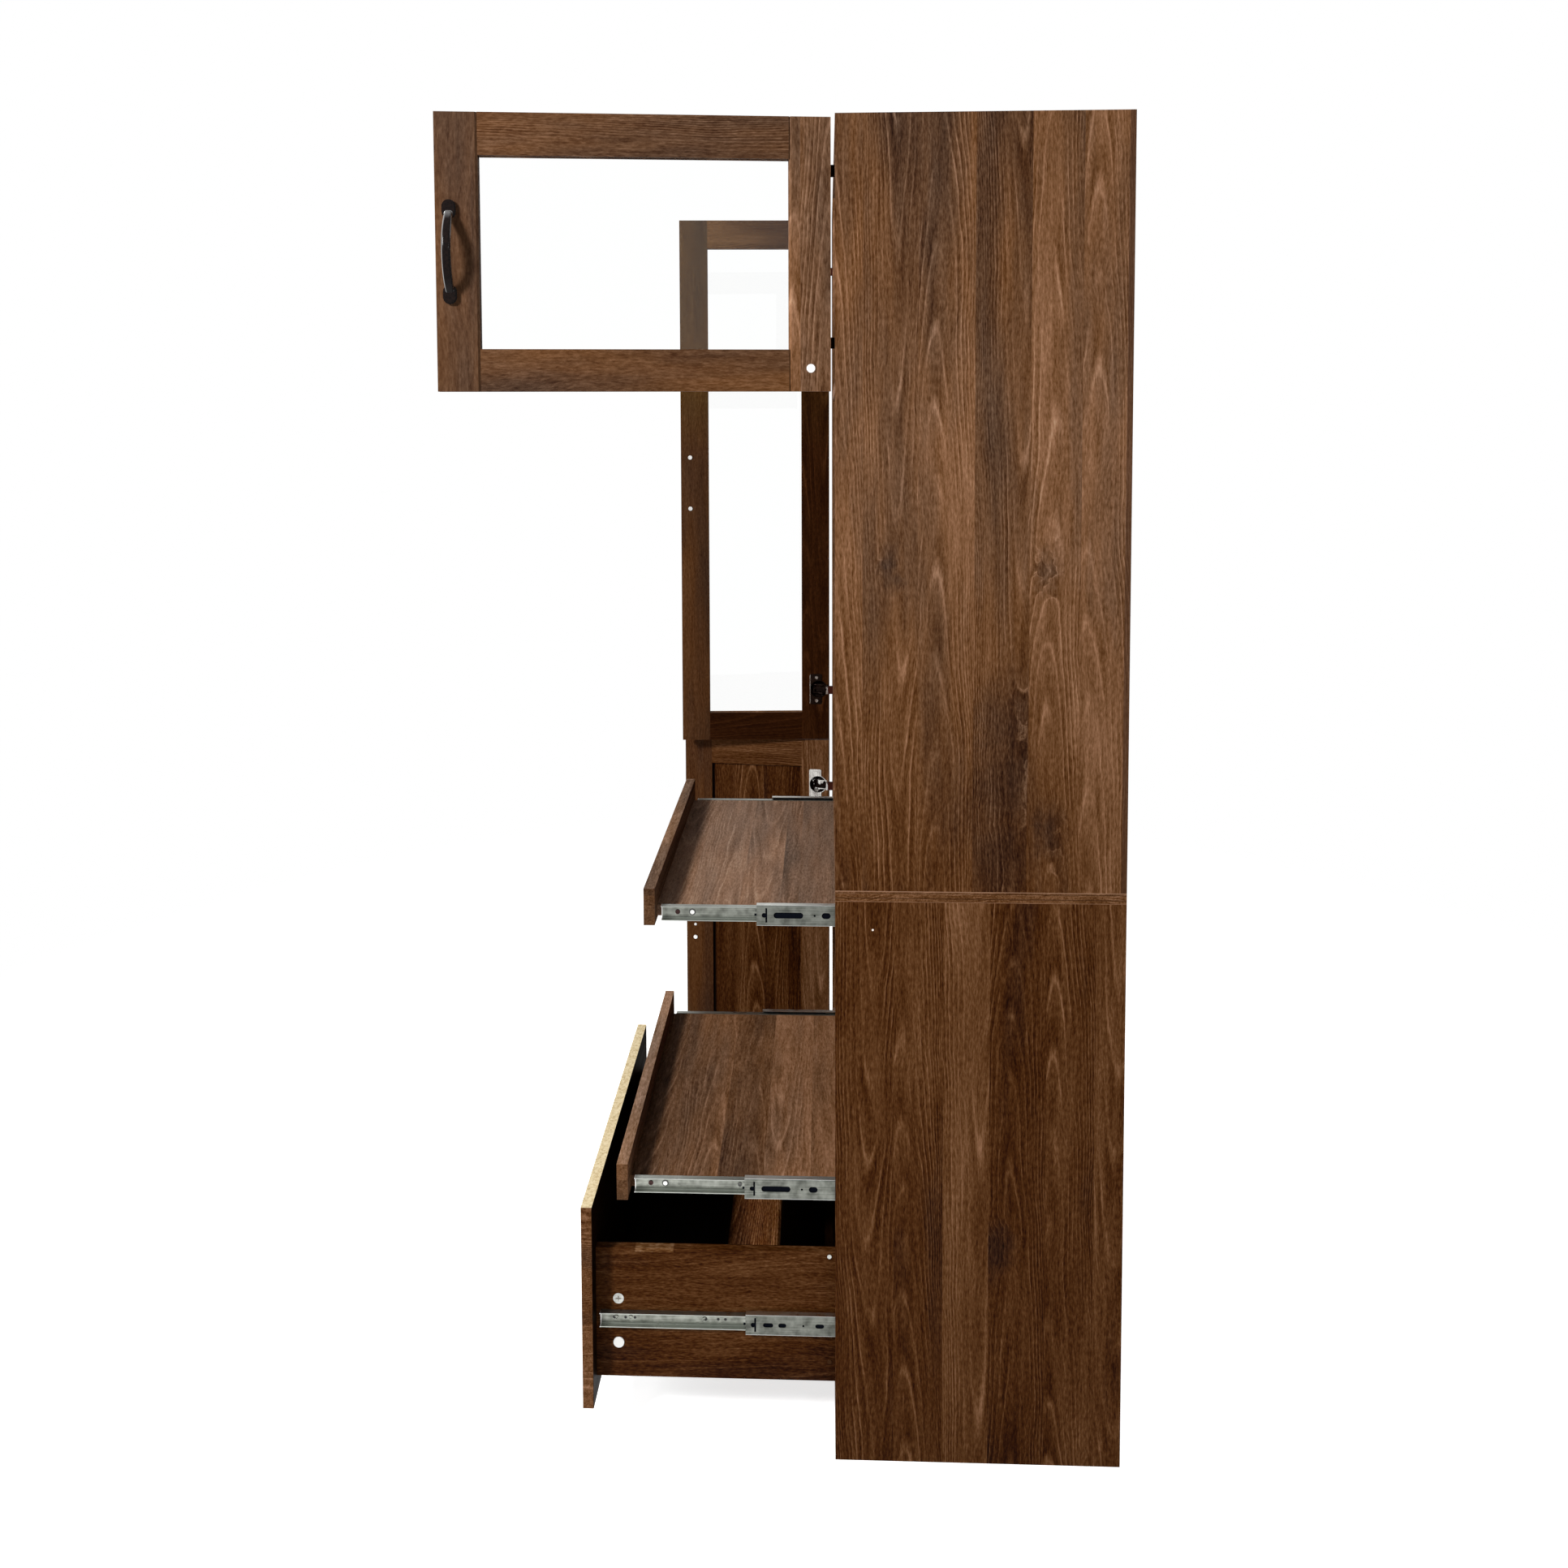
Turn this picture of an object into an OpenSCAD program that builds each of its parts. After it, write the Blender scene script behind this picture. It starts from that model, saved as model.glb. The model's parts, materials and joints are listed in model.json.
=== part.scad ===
// Tall kitchen hutch in walnut laminate: a lower and an upper cabinet with a counter board between them,
// three framed doors on concealed hinges, two pull-out trays and a drawer on ball-bearing slides.
// X runs to the right seen from the front, Y from the front edges of the panels to the back, Z up.
// The origin is on the floor, in the middle of the front edge.

/* [Cabinet] */
// Width over the two side panels
cabinet_w = 800; // [760:5:1000]
// Depth of the side panels
cabinet_d = 385; // [375:1:500]
// Height from the floor to the top
cabinet_h = 1813; // [1750:1:2100]
// Thickness of every carcass board, door frame and front
board_t = 15; // [14:0.5:18]
// Height of the underside of the counter board
counter_z = 778; // [765:1:900]
// Height of the underside of the wall cupboard's floor
cupboard_z = 1454; // [1250:1:1480]
// Height of the plinth board
plinth_h = 60; // [40:1:80]
// Place of the dividers' middle, left of the cabinet's middle
divider_x = -106.5; // [-140:0.5:-80]
// Thickness of the two back panels
back_t = 3; // [2.5:0.5:6]
// Distance from the back panels to the rear edges
back_inset = 10; // [6:1:20]
// Depth of the grooves that hold the back panels
back_groove = 6; // [3:0.5:8]

/* [Shelves and fittings] */
// Number of adjustable shelves behind the upper left door
upper_shelf_count = 3; // [1:1:3]
// Side clearance of an adjustable shelf
shelf_clearance = 1; // [0.5:0.25:2]
// Distance of the shelves' front edges from the cabinet's front
shelf_setback = 20; // [18:1:60]
// Diameter of a shelf pin
pin_d = 5; // [4:0.5:6]
// Diameter of a wooden dowel
dowel_d = 8; // [6:1:9]
// Length of a wooden dowel
dowel_l = 30; // [24:1:36]
// Diameter of a cam lock
cam_d = 15; // [12:0.5:16]
// Depth of a carcass cam lock in its board
cam_h = 11; // [8:0.5:12]

/* [Fronts] */
// Gap between a closed front and the carcass
front_gap = 2; // [1.8:0.1:3]
// Distance from a front's outer edge to the outside of the carcass
front_reveal = 2; // [1.5:0.1:3]
// Distance from the upper doors' top edges to the top of the cabinet
top_reveal = 5; // [2:0.5:10]
// Gap between two neighbouring fronts
door_gap = 3; // [2:0.25:4]
// Width of the doors' frame members
frame_w = 54; // [50:1:70]
// Width of the bevel along a stile's inner edge
bevel_w = 3; // [1:0.25:4]
// Depth of the bevel along a stile's inner edge
bevel_d = 2; // [1:0.25:3]
// Thickness of the panes
glass_t = 4; // [3:0.5:5]
// Thickness of the recessed door panel
panel_t = 5; // [4:0.5:6]
// Depth of the grooves that hold panes and panel
core_groove = 6; // [4:0.5:8]

/* [Hinges] */
// Diameter of a hinge cup
cup_d = 35; // [34:0.5:36]
// Depth of a hinge cup
cup_depth = 11.5; // [11.5:0.1:12]
// Distance from the door's edge to the middle of a hinge cup
cup_edge = 21.5; // [21.5:0.1:22]
// Height of a hinge cup's flange
flange_h = 60; // [58:1:68]
// Width of a hinge cup's flange
flange_w = 24; // [20:0.5:26]
// Height of a hinge arm's nose
arm_h = 14; // [12:0.5:14.5]
// Distance from an end of the cupboard door to its hinge
hinge_end_wide = 64; // [60:1:90]
// Distance from an end of the upper left door to its hinge
hinge_end_tall = 100; // [60:1:140]
// Distance from an end of the lower left door to its hinge
hinge_end_low = 89; // [60:1:140]

/* [Handles] */
// Distance between the handle screws
handle_spacing = 100; // [80:1:128]
// Distance from a door's free edge to the handle
handle_edge = 18; // [15:0.5:27]
// Height of the handle's bow above the door
handle_rise = 27; // [22:0.5:35]
// Radius of a handle foot
foot_r = 8.75; // [7:0.25:9]
// Thickness of a handle foot
foot_t = 4; // [3:0.25:5]
// Width of the bow
bow_w = 11.5; // [8:0.25:12]
// Thickness of the bow
bow_t = 6.5; // [5:0.25:8]

/* [Trays and drawer] */
// Height of the middle of the upper tray's slides
upper_tray_z = 751; // [700:1:755]
// Height of the middle of the lower tray's slides
lower_tray_z = 369; // [365:1:560]
// Height of the middle of the drawer's slides
drawer_z = 175; // [150:1:200]
// Depth of the tray boards and of the drawer box
tray_d = 350; // [345:1:356]
// Height of a tray's front lip
lip_h = 50; // [36:1:60]
// Distance from the slides' middle down to a lip's lower edge
lip_drop = 9; // [6:0.5:14]
// Height of the drawer's front board
drawer_front_h = 286; // [240:1:288]
// Height of the drawer's sides
drawer_side_h = 185; // [150:1:195]
// Thickness of the drawer's sides and back
drawer_side_t = 12; // [12:0.5:15]
// Clearance under the drawer's sides, over the bottom board
drawer_lift = 14; // [6:1:20]
// Thickness of the drawer's bottom panel
drawer_bottom_t = 3; // [3:0.5:5]
// Distance from the drawer front to its cam locks
drawer_cam_inset = 31; // [25:1:40]
// Distance from the drawer's back board to the rear ends of its sides
drawer_back_inset = 20; // [0:1:40]

/* [Slides] */
// Thickness of a slide, panel to box
slide_t = 12.7; // [12.7:0.1:13.5]
// Height of an outer slide member
outer_h = 35; // [35:0.5:37]
// Height of a middle slide member
mid_h = 28.4; // [28:0.1:28.8]
// Height of an inner slide member
inner_h = 20; // [19:0.25:20.5]
// Length of an outer slide member
slide_l = 350; // [340:1:355]
// Thickness of the slide members' steel
steel_t = 1.2; // [1:0.05:1.3]

/* [Pose] */
// Opening angle of the cupboard door
right_door_open = 95.9; // [0:0.1:105]
// Opening angle of the upper left door
upper_left_open = 87.05; // [0:0.05:105]
// Opening angle of the lower left door
lower_left_open = 96.1; // [0:0.1:105]
// Travel of the upper tray
upper_tray_out = 240; // [0:1:340]
// Travel of the lower tray
lower_tray_out = 280; // [0:1:340]
// Travel of the drawer
drawer_out = 330; // [0:1:340]

/* [Hidden] */

// Smoothness of the round parts
fine = 48;
coarse = 24;
// Overlap of a cutting shape past the face that it cuts
eps = 0.5;
// Small clearance of a piece in its hole, pocket or groove
fit = 0.1;
// Clearance of a thin panel in its groove, on each face
core_fit = 0.2;

// Colours
walnut = [0.30, 0.19, 0.13];
walnut_dark = [0.20, 0.12, 0.08];
zinc = [0.70, 0.72, 0.72];
nickel = [0.75, 0.74, 0.72];
black_gloss = [0.05, 0.04, 0.05];
white_plastic = [0.92, 0.92, 0.90];
beech = [0.80, 0.66, 0.46];
pane = [0.80, 0.86, 0.84, 0.35];

// Carcass faces and heights
half_w = cabinet_w / 2;
inner_x = half_w - board_t;
divider_right = divider_x + board_t / 2;
divider_left = divider_x - board_t / 2;
counter_top = counter_z + board_t;
bottom_top = plinth_h + board_t;
top_under = cabinet_h - board_t;
cupboard_top = cupboard_z + board_t;
back_y = cabinet_d - back_inset - back_t;

// Play of the back panels in their grooves
back_play = 1;

// Adjustable shelves and their pins
shelf_d = back_y - shelf_setback - shelf_clearance;
upper_shelf_step = (top_under - counter_top) / (upper_shelf_count + 1);
upper_shelf_z = [for (i = [1:upper_shelf_count]) counter_top + i * upper_shelf_step];
lower_shelf_z = bottom_top + (counter_z - bottom_top) / 2;
shelf_z = concat([lower_shelf_z], upper_shelf_z);
pin_l = 16;
pin_depth = 8;
pin_inset = 30;
pin_y = [shelf_setback + pin_inset, shelf_setback + shelf_d - pin_inset];

// Dowels and cam locks of the fixed boards
joint_inset = 50;
joint_y = [joint_inset, back_y - joint_inset];
dowel_shift = 32;
cam_edge = 24;
dowel_in_panel = 10;
cross_w = 1.6;
cross_d = 1.5;

// Doors: width, lower edge and height of each
door_edge = half_w - front_reveal;
right_w = door_edge - divider_x - door_gap / 2;
left_w = door_edge + divider_x - door_gap / 2;
upper_door_top = cabinet_h - top_reveal;
right_z = cupboard_z + front_reveal;
right_h = upper_door_top - right_z;
upper_left_z = counter_top - front_reveal;
upper_left_h = upper_door_top - upper_left_z;
lower_left_z = plinth_h + front_reveal;
lower_left_h = upper_left_z - door_gap - lower_left_z;

// Panes and panel in their grooves
core_play = 1;
core_bite = core_groove - core_play;
tongue_l = core_groove - fit;

// Hinge pivot of a door: distance from the door's edge and from the carcass front
pivot_edge = 4.3;
pivot_front = 10.25;
pivot_x = door_edge - pivot_edge;
cup_wall = 1;
flange_t = 1;
flange_r = 3;
flange_screw_x = 4;
flange_screw_end = 7;
flange_screw = flange_h / 2 - flange_screw_end;
flange_screw_r = 3.2;
flange_screw_h = 1;
link_t = 1.4;
link_gap = 0.4;
link_heel = 1;
link_foot_x = [8, 12];
link_foot_depth = 4;
link_knee_x = 14;
link_tip_x = 32;
link_tip_depth = 5;
arm_rise = 14;
arm_low = 3.2;
arm_wall = 1.2;
arm_back = 56;
arm_flare = 4;
arm_tail_h = arm_h + arm_flare;
nose_gap = 0.3;
// The arm's nose stands in the closed cup and clears the door's turning corner
// The links turn clear of the panel
nose_y = cup_wall + nose_gap - front_gap - cup_depth;
nose_low = inner_x - pivot_x + norm([pivot_edge, pivot_front - front_gap]) + nose_gap;
nose_back = 4;
link_reach = front_gap - nose_gap;
arm_neck_y = [12, 24];
plate_y = [27, 61];
plate_t = 2;
plate_h = 50;
plate_w = 16;
plate_screw_end = 8;
wing_r = 9;
saddle_y = 2;
saddle_l = 26;
link_pin = [30, -7];
link_pin_r = 1.5;

// Handle: bow radius from its chord and rise
screw_r = 2;
screw_head_r = 4;
screw_head_h = 1.8;
screw_play = 0.3;
screw_hole_r = screw_r + screw_play;
screw_reach = 5;
foot_tail = 7;
foot_step = 2;
foot_step_inset = 1.5;
bow_root = 3;
bow_sag = handle_rise - bow_t / 2 - bow_root;
bow_r = (pow(handle_spacing / 2, 2) + pow(bow_sag, 2)) / (2 * bow_sag);
bow_half_angle = asin(handle_spacing / 2 / bow_r);

// The round cap on the cupboard door
cap_r = 6;
cap_t = 1;
cap_edge = 26;
cap_up = 29.7;

// Screw of the catch on the lower left door, above the lower handle screw
catch_up = 26;
catch_r = 2.6;

// Trays: places of the board and of the lip in a tray
front_x = divider_x + door_gap / 2;
tray_x0 = divider_right + slide_t;
tray_x1 = inner_x - slide_t;
tray_rise = lip_drop;

// Slides
slide_front = 1;
inner_front = 4;
inner_l = tray_d - front_gap - inner_front;
mid_front = 2;
mid_short = 10;
mid_l = slide_l - mid_short;
outer_flange = 9.2;
outer_lip = 1;
mid_web = 2.3;
mid_flange = 10;
tray_mid_ratio = 0.45;
drawer_mid_ratio = 0.38;

// Ball rows of the slides, and the retainer that runs behind the middle member's web
ball_gap = 0.4;
row_balls = 6;
row_t = 0.6;
row_edge = 0.5;
outer_row_l = 60;
outer_row_inset = 20;
outer_row_behind = 4;
outer_row_x = mid_web + outer_row_behind;
retainer_x = mid_web + steel_t + ball_gap;
retainer_l = 108;
retainer_inset = 2;
retainer_tongue_l = 3;
retainer_tongue_h = 3;
retainer_flange_l = 2;
inner_flange = retainer_x + row_t + ball_gap;

// Cut-outs of the slides' webs: [distance from the member's front end, length], and their heights
outer_slots = [[34, 14], [190, 14], [320, 14]];
tray_slots = [[23, 40], [77, 3], [88, 12]];
drawer_slots = [[24, 14], [45, 11], [78, 3], [96, 12]];
outer_slot_h = 6.5;
tray_slot_h = 8;
drawer_slot_h = 6;
key_y = 7;
key_d = 6.5;
key_bar_y = 12;
key_bar_w = 2.4;
key_bar_h = 20;
slide_screw_r = 3;
slide_screw_t = 1.2;
slide_screws = [22, 42, 145];

// Drawer box
drawer_front_z = plinth_h + front_reveal;
drawer_low = bottom_top + drawer_lift;
drawer_high = drawer_low + drawer_side_h;
drawer_groove = 5;
bottom_play = 0.5;
drawer_bottom_up = 10;
drawer_bottom_z = drawer_low + drawer_bottom_up;
drawer_cam_drop = 37;
drawer_cam_rise = 26;
drawer_cam_z = [drawer_z - drawer_cam_drop, drawer_z + drawer_cam_rise];
drawer_back_y = tray_d - front_gap - drawer_back_inset - drawer_side_t;
drawer_cam_h = 9;
drawer_screw_r = 3;
drawer_screw_t = 1.2;
drawer_screw_inset = 6;

// Building blocks

// A board between two corners
module board(x, y, z) {
    translate([x[0], y[0], z[0]])
        cube([x[1] - x[0], y[1] - y[0], z[1] - z[0]]);
}

// A profile drawn in X and Z, run from y towards the back for a length
module along_y(y, length) {
    translate([0, y + length, 0])
        rotate([90, 0, 0])
            linear_extrude(length)
                children();
}

// An oblong with round ends, its first end's middle at the origin, running along the second axis
module oblong(r, length) {
    circle(r = r, $fn = fine);
    translate([-r, 0])
        square([2 * r, length]);
    translate([0, length])
        circle(r = r, $fn = fine);
}

// A pan-headed screw along -Y, its head standing on the plane y = 0
module pan_screw(head_r, head_h, shank_r, shank_l) {
    difference() {
        union() {
            rotate([-90, 0, 0])
                cylinder(r = head_r, h = head_h, $fn = coarse);
            rotate([90, 0, 0])
                cylinder(r = shank_r, h = shank_l, $fn = coarse);
        }
        cross_recess(head_r * 1.2, head_h);
    }
}

// The cross recess in a screw or cam head whose outer face is at y = top
module cross_recess(span, top) {
    for (turn = [0, 90])
        translate([0, top, 0])
            rotate([0, turn, 0])
                cube([span, cross_d, cross_w], center = true);
}

// Carcass

// A side panel between two heights, with its back groove, for the right side or (side = -1) the left one
module side_panel(side, z) {
    faces = [inner_x, half_w];
    groove = [inner_x - eps, inner_x + back_groove];
    difference() {
        board(side > 0 ? faces : [-faces[1], -faces[0]], [0, cabinet_d], z);
        board(side > 0 ? groove : [-groove[1], -groove[0]],
              [back_y - core_fit, back_y + back_t + core_fit], [z[0] - eps, z[1] + eps]);
    }
}

// Dowels in both ends of a fixed board between two upright faces
module end_dowels(x, z, grow) {
    for (face = [[x[0], 1], [x[1], -1]])
        for (y = joint_y)
            for (shift = [-dowel_shift, dowel_shift])
                translate([face[0] - face[1] * dowel_in_panel, y + shift * sign(back_y / 2 - y), z])
                    rotate([0, 90 * face[1], 0])
                        translate([0, 0, -grow])
                            cylinder(d = dowel_d + 2 * grow, h = dowel_l + 2 * grow, $fn = coarse);
}

module bottom_dowels(grow) {
    end_dowels([-inner_x, inner_x], plinth_h + board_t / 2, grow);
}

module floor_dowels(grow) {
    end_dowels([divider_right, inner_x], cupboard_z + board_t / 2, grow);
}

module top_dowels(grow) {
    end_dowels([-inner_x, inner_x], top_under + board_t / 2, grow);
}

// Cam locks in both ends of a fixed board, let into the face at height z, downwards or (up = 1) upwards
module end_cams(x, z, up, grow) {
    for (cam_x = [x[0] + cam_edge, x[1] - cam_edge])
        for (y = joint_y)
            translate([cam_x, y, z])
                rotate([up > 0 ? 0 : 180, 0, 0])
                    cam(cam_d + 2 * grow, cam_h + 2 * grow, grow == 0);
}

// A cam lock or its pocket, its face at z = 0 and its body above
module cam(d, h, with_recess) {
    difference() {
        translate([0, 0, with_recess ? 0 : -eps])
            cylinder(d = d, h = with_recess ? h : h + eps, $fn = fine);
        if (with_recess)
            rotate([90, 0, 0])
                cross_recess(d * 0.55, 0);
    }
}

module all_cams(grow) {
    end_cams([-inner_x, inner_x], plinth_h, 1, grow);
    end_cams([divider_right, inner_x], cupboard_top, 0, grow);
    end_cams([-inner_x, inner_x], cabinet_h, 0, grow);
}

module side_lower_right() {
    color(walnut)
        difference() {
            side_panel(1, [0, counter_z]);
            bottom_dowels(fit);
        }
}

module side_lower_left() {
    color(walnut)
        difference() {
            side_panel(-1, [0, counter_z]);
            bottom_dowels(fit);
            pins([lower_shelf_z], fit);
        }
}

module side_upper_right() {
    color(walnut)
        difference() {
            side_panel(1, [counter_top, cabinet_h]);
            floor_dowels(fit);
            top_dowels(fit);
        }
}

module side_upper_left() {
    color(walnut)
        difference() {
            side_panel(-1, [counter_top, cabinet_h]);
            top_dowels(fit);
            pins(upper_shelf_z, fit);
        }
}

module counter_board() {
    color(walnut)
        board([-half_w, half_w], [0, cabinet_d], [counter_z, counter_top]);
}

module top_board() {
    color(walnut)
        difference() {
            board([-inner_x, inner_x], [0, back_y], [top_under, cabinet_h]);
            top_dowels(fit);
            all_cams(fit);
        }
}

module bottom_board() {
    color(walnut)
        difference() {
            board([-inner_x, inner_x], [0, back_y], [plinth_h, bottom_top]);
            bottom_dowels(fit);
            all_cams(fit);
        }
}

module plinth() {
    color(walnut)
        board([-inner_x, inner_x], [0, board_t], [0, plinth_h]);
}

module divider_lower() {
    color(walnut)
        difference() {
            board([divider_left, divider_right], [0, back_y], [bottom_top, counter_z]);
            pins([lower_shelf_z], fit);
        }
}

module divider_upper() {
    color(walnut)
        difference() {
            board([divider_left, divider_right], [0, back_y], [counter_top, top_under]);
            floor_dowels(fit);
            pins(upper_shelf_z, fit);
        }
}

module cupboard_floor() {
    color(walnut)
        difference() {
            board([divider_right, inner_x], [0, back_y], [cupboard_z, cupboard_top]);
            floor_dowels(fit);
            all_cams(fit);
        }
}

// A back panel between two heights, its edges in the side panels' grooves
module back_panel(z) {
    reach = inner_x + back_groove - back_play;
    board([-reach, reach], [back_y, back_y + back_t], z);
}

module back_lower() {
    color(walnut_dark)
        back_panel([plinth_h, counter_z]);
}

module back_upper() {
    color(walnut_dark)
        back_panel([counter_top, cabinet_h]);
}

module adjustable_shelves() {
    color(walnut)
        for (z = shelf_z)
            board([-inner_x + shelf_clearance, divider_left - shelf_clearance],
                  [shelf_setback, shelf_setback + shelf_d], [z, z + board_t]);
}

// Shelf pins under the shelves at the given heights, or (grow > 0) the holes that hold them
module pins(heights, grow) {
    for (z = heights)
        for (y = pin_y)
            for (face = [[-inner_x, 1], [divider_left, -1]])
                translate([face[0] - face[1] * (pin_depth + grow), y, z - pin_d / 2])
                    rotate([0, 90 * face[1], 0])
                        cylinder(d = pin_d + 2 * grow, h = pin_l, $fn = coarse);
}

module shelf_pins() {
    color(zinc)
        pins(shelf_z, 0);
}

module dowels() {
    color(beech) {
        bottom_dowels(0);
        floor_dowels(0);
        top_dowels(0);
    }
}

module cam_locks() {
    color(zinc)
        all_cams(0);
}

// Concealed hinges

// Outline of a hinge arm in Y and Z, made smaller by a wall on every side but the front one
module arm_outline(wall) {
    nose = arm_h / 2 - wall;
    tail = arm_tail_h / 2 - wall;
    polygon([
        [nose_y + wall, -nose], [arm_neck_y[0], -nose], [arm_neck_y[1], -tail], [arm_back - wall, -tail],
        [arm_back - wall, tail], [arm_neck_y[1], tail], [arm_neck_y[0], nose], [nose_y + wall, nose]
    ]);
}

// A shape drawn in Y and Z and run inwards from the panel's face, between two distances
module from_panel(low, high) {
    translate([low, 0, 0])
        rotate([90, 0, 90])
            linear_extrude(high - low)
                children();
}

// A hinge arm with its mounting plate, on a panel whose face is the plane x = 0, running into +X
module hinge_arm() {
    plate_mid = (plate_y[0] + plate_y[1]) / 2;
    // The pressed channel of the arm
    difference() {
        from_panel(arm_low, arm_rise)
            arm_outline(0);
        from_panel(arm_low - eps, arm_rise - arm_wall)
            arm_outline(arm_wall);
    }
    // The link block in its nose
    from_panel(nose_low, arm_rise - arm_wall / 2)
        translate([nose_y, arm_wall / 2 - arm_h / 2])
            square([nose_back - nose_y, arm_h - arm_wall]);
    // The winged mounting plate with its saddle
    from_panel(0, plate_t) {
        translate([plate_y[0], -plate_w / 2])
            square([plate_y[1] - plate_y[0], plate_w]);
        translate([plate_mid, wing_r - plate_h / 2])
            oblong(wing_r, plate_h - 2 * wing_r);
    }
    from_panel(plate_t - eps, arm_rise - arm_wall - core_fit)
        translate([plate_y[0] + saddle_y, -(arm_tail_h / 2 - arm_wall - core_fit)])
            square([saddle_l, arm_tail_h - 2 * (arm_wall + core_fit)]);
    // The two plate screws and the arm's own screw
    for (up = [-1, 1])
        translate([plate_t, plate_mid, up * (plate_h / 2 - plate_screw_end)])
            rotate([0, 0, -90])
                pan_screw(screw_head_r - 0.5, screw_head_h, screw_r, plate_t);
    translate([arm_rise, plate_mid, 0])
        rotate([0, 0, -90])
            pan_screw(screw_head_r, screw_head_h, screw_r, arm_wall);
}

// The hinge arms of one door, on the right side panel or (side = -1) the left one
module hinge_arms(side, z, h, hinge_end) {
    for (up = [hinge_end, h - hinge_end])
        if (side > 0)
            translate([inner_x, 0, z + up])
                mirror([1, 0, 0])
                    hinge_arm();
        else
            translate([-inner_x, 0, z + up])
                hinge_arm();
}

module right_hinge_arms() {
    color(nickel)
        hinge_arms(1, right_z, right_h, hinge_end_wide);
}

module upper_left_hinge_arms() {
    color(nickel)
        hinge_arms(-1, upper_left_z, upper_left_h, hinge_end_tall);
}

module lower_left_hinge_arms() {
    color(nickel)
        hinge_arms(-1, lower_left_z, lower_left_h, hinge_end_low);
}

// The flange of a hinge cup: a rectangle with round corners, from the cup's edge towards the door's edge
module flange_outline() {
    x = [cup_d / 2 - flange_w, cup_d / 2];
    half = flange_h / 2;
    translate([x[0], flange_r - half])
        square([flange_w, flange_h - 2 * flange_r]);
    translate([x[0] + flange_r, -half])
        square([flange_w - 2 * flange_r, flange_h]);
    for (corner_x = [x[0] + flange_r, x[1] - flange_r])
        for (up = [-1, 1])
            translate([corner_x, up * (half - flange_r)])
                circle(r = flange_r, $fn = coarse);
}

// A hinge cup in a door: cup, flange, the pair of links in it and their pin
module hinge_cup() {
    hollow = cup_depth - cup_wall;
    difference() {
        union() {
            rotate([90, 0, 0])
                cylinder(d = cup_d, h = cup_depth, $fn = fine);
            rotate([-90, 0, 0])
                linear_extrude(flange_t) {
                    flange_outline();
                    circle(d = cup_d, $fn = fine);
                }
        }
        translate([0, flange_t + eps, 0])
            rotate([90, 0, 0])
                cylinder(d = cup_d - 2 * cup_wall, h = flange_t + eps + hollow, $fn = fine);
    }
    // Places in this door's own measure, where x = 0 is the door's edge
    for (up = [-1, 1])
        translate([-cup_edge, 0, up * (arm_h / 2 + link_gap + link_t / 2) - link_t / 2])
            linear_extrude(link_t)
                polygon([
                    [pivot_edge - link_heel, flange_t + fit], [pivot_edge - link_heel, link_reach - fit],
                    [pivot_edge, link_reach], [link_knee_x, link_reach], [link_tip_x, -link_tip_depth],
                    [link_tip_x, -hollow - eps], [link_foot_x[1], -hollow - eps],
                    [link_foot_x[0], -link_foot_depth], [link_foot_x[0], flange_t + fit]
                ]);
    translate([link_pin[0] - cup_edge, link_pin[1], -arm_h / 2 - link_gap - fit])
        cylinder(r = link_pin_r, h = arm_h + 2 * (link_gap + fit), $fn = coarse);
    for (up = [-1, 1])
        translate([flange_screw_x, flange_t, up * flange_screw])
            pan_screw(flange_screw_r, flange_screw_h, screw_r - 0.5, flange_t / 2);
}

// Doors, drawn closed with x from the hinge edge, y from the inner face and z from the lower edge

// Places a door's piece on the right or (side = -1) the left of the cabinet, at its opening angle
module hang(side, z, angle) {
    translate([side * pivot_x, -pivot_front, 0])
        rotate([0, 0, side * angle])
            translate([side * (door_edge - pivot_x), pivot_front - front_gap, z])
                if (side > 0)
                    mirror([1, 0, 0])
                        children();
                else
                    children();
}

// A stile with its bevel and the groove for a pane or panel of thickness t
module stile(h, t) {
    difference() {
        board([0, frame_w], [-board_t, 0], [0, h]);
        translate([0, 0, -eps])
            linear_extrude(h + 2 * eps) {
                polygon([
                    [frame_w - bevel_w, -board_t - eps], [frame_w - bevel_w, -board_t],
                    [frame_w, bevel_d - board_t], [frame_w + eps, bevel_d - board_t],
                    [frame_w + eps, -board_t - eps]
                ]);
                translate([frame_w - core_groove, -board_t / 2 - t / 2 - core_fit])
                    square([core_groove + eps, t + 2 * core_fit]);
            }
    }
}

module hinge_stile(h, t, hinge_end) {
    difference() {
        stile(h, t);
        for (up = [hinge_end, h - hinge_end])
            translate([cup_edge, eps, up])
                rotate([90, 0, 0])
                    cylinder(d = cup_d + 2 * fit, h = cup_depth + fit + eps, $fn = fine);
    }
}

// Heights of the two handle screws
function screw_heights(h) = [h / 2 - handle_spacing / 2, h / 2 + handle_spacing / 2];

module handle_stile(w, h, t) {
    difference() {
        translate([w, 0, 0])
            mirror([1, 0, 0])
                stile(h, t);
        for (up = screw_heights(h))
            translate([w - handle_edge, eps, up])
                rotate([90, 0, 0])
                    cylinder(r = screw_hole_r, h = board_t + 2 * eps, $fn = coarse);
    }
}

// One rail from the lower edge upwards, its groove on top and a tongue at each end
module rail(w, t) {
    difference() {
        union() {
            board([frame_w, w - frame_w], [-board_t, 0], [0, frame_w]);
            board([frame_w - tongue_l, w - frame_w + tongue_l], [-board_t / 2 - t / 2, -board_t / 2 + t / 2],
                  [0, frame_w]);
        }
        board([frame_w - core_groove - eps, w - frame_w + core_groove + eps],
              [-board_t / 2 - t / 2 - core_fit, -board_t / 2 + t / 2 + core_fit],
              [frame_w - core_groove, frame_w + eps]);
    }
}

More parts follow.
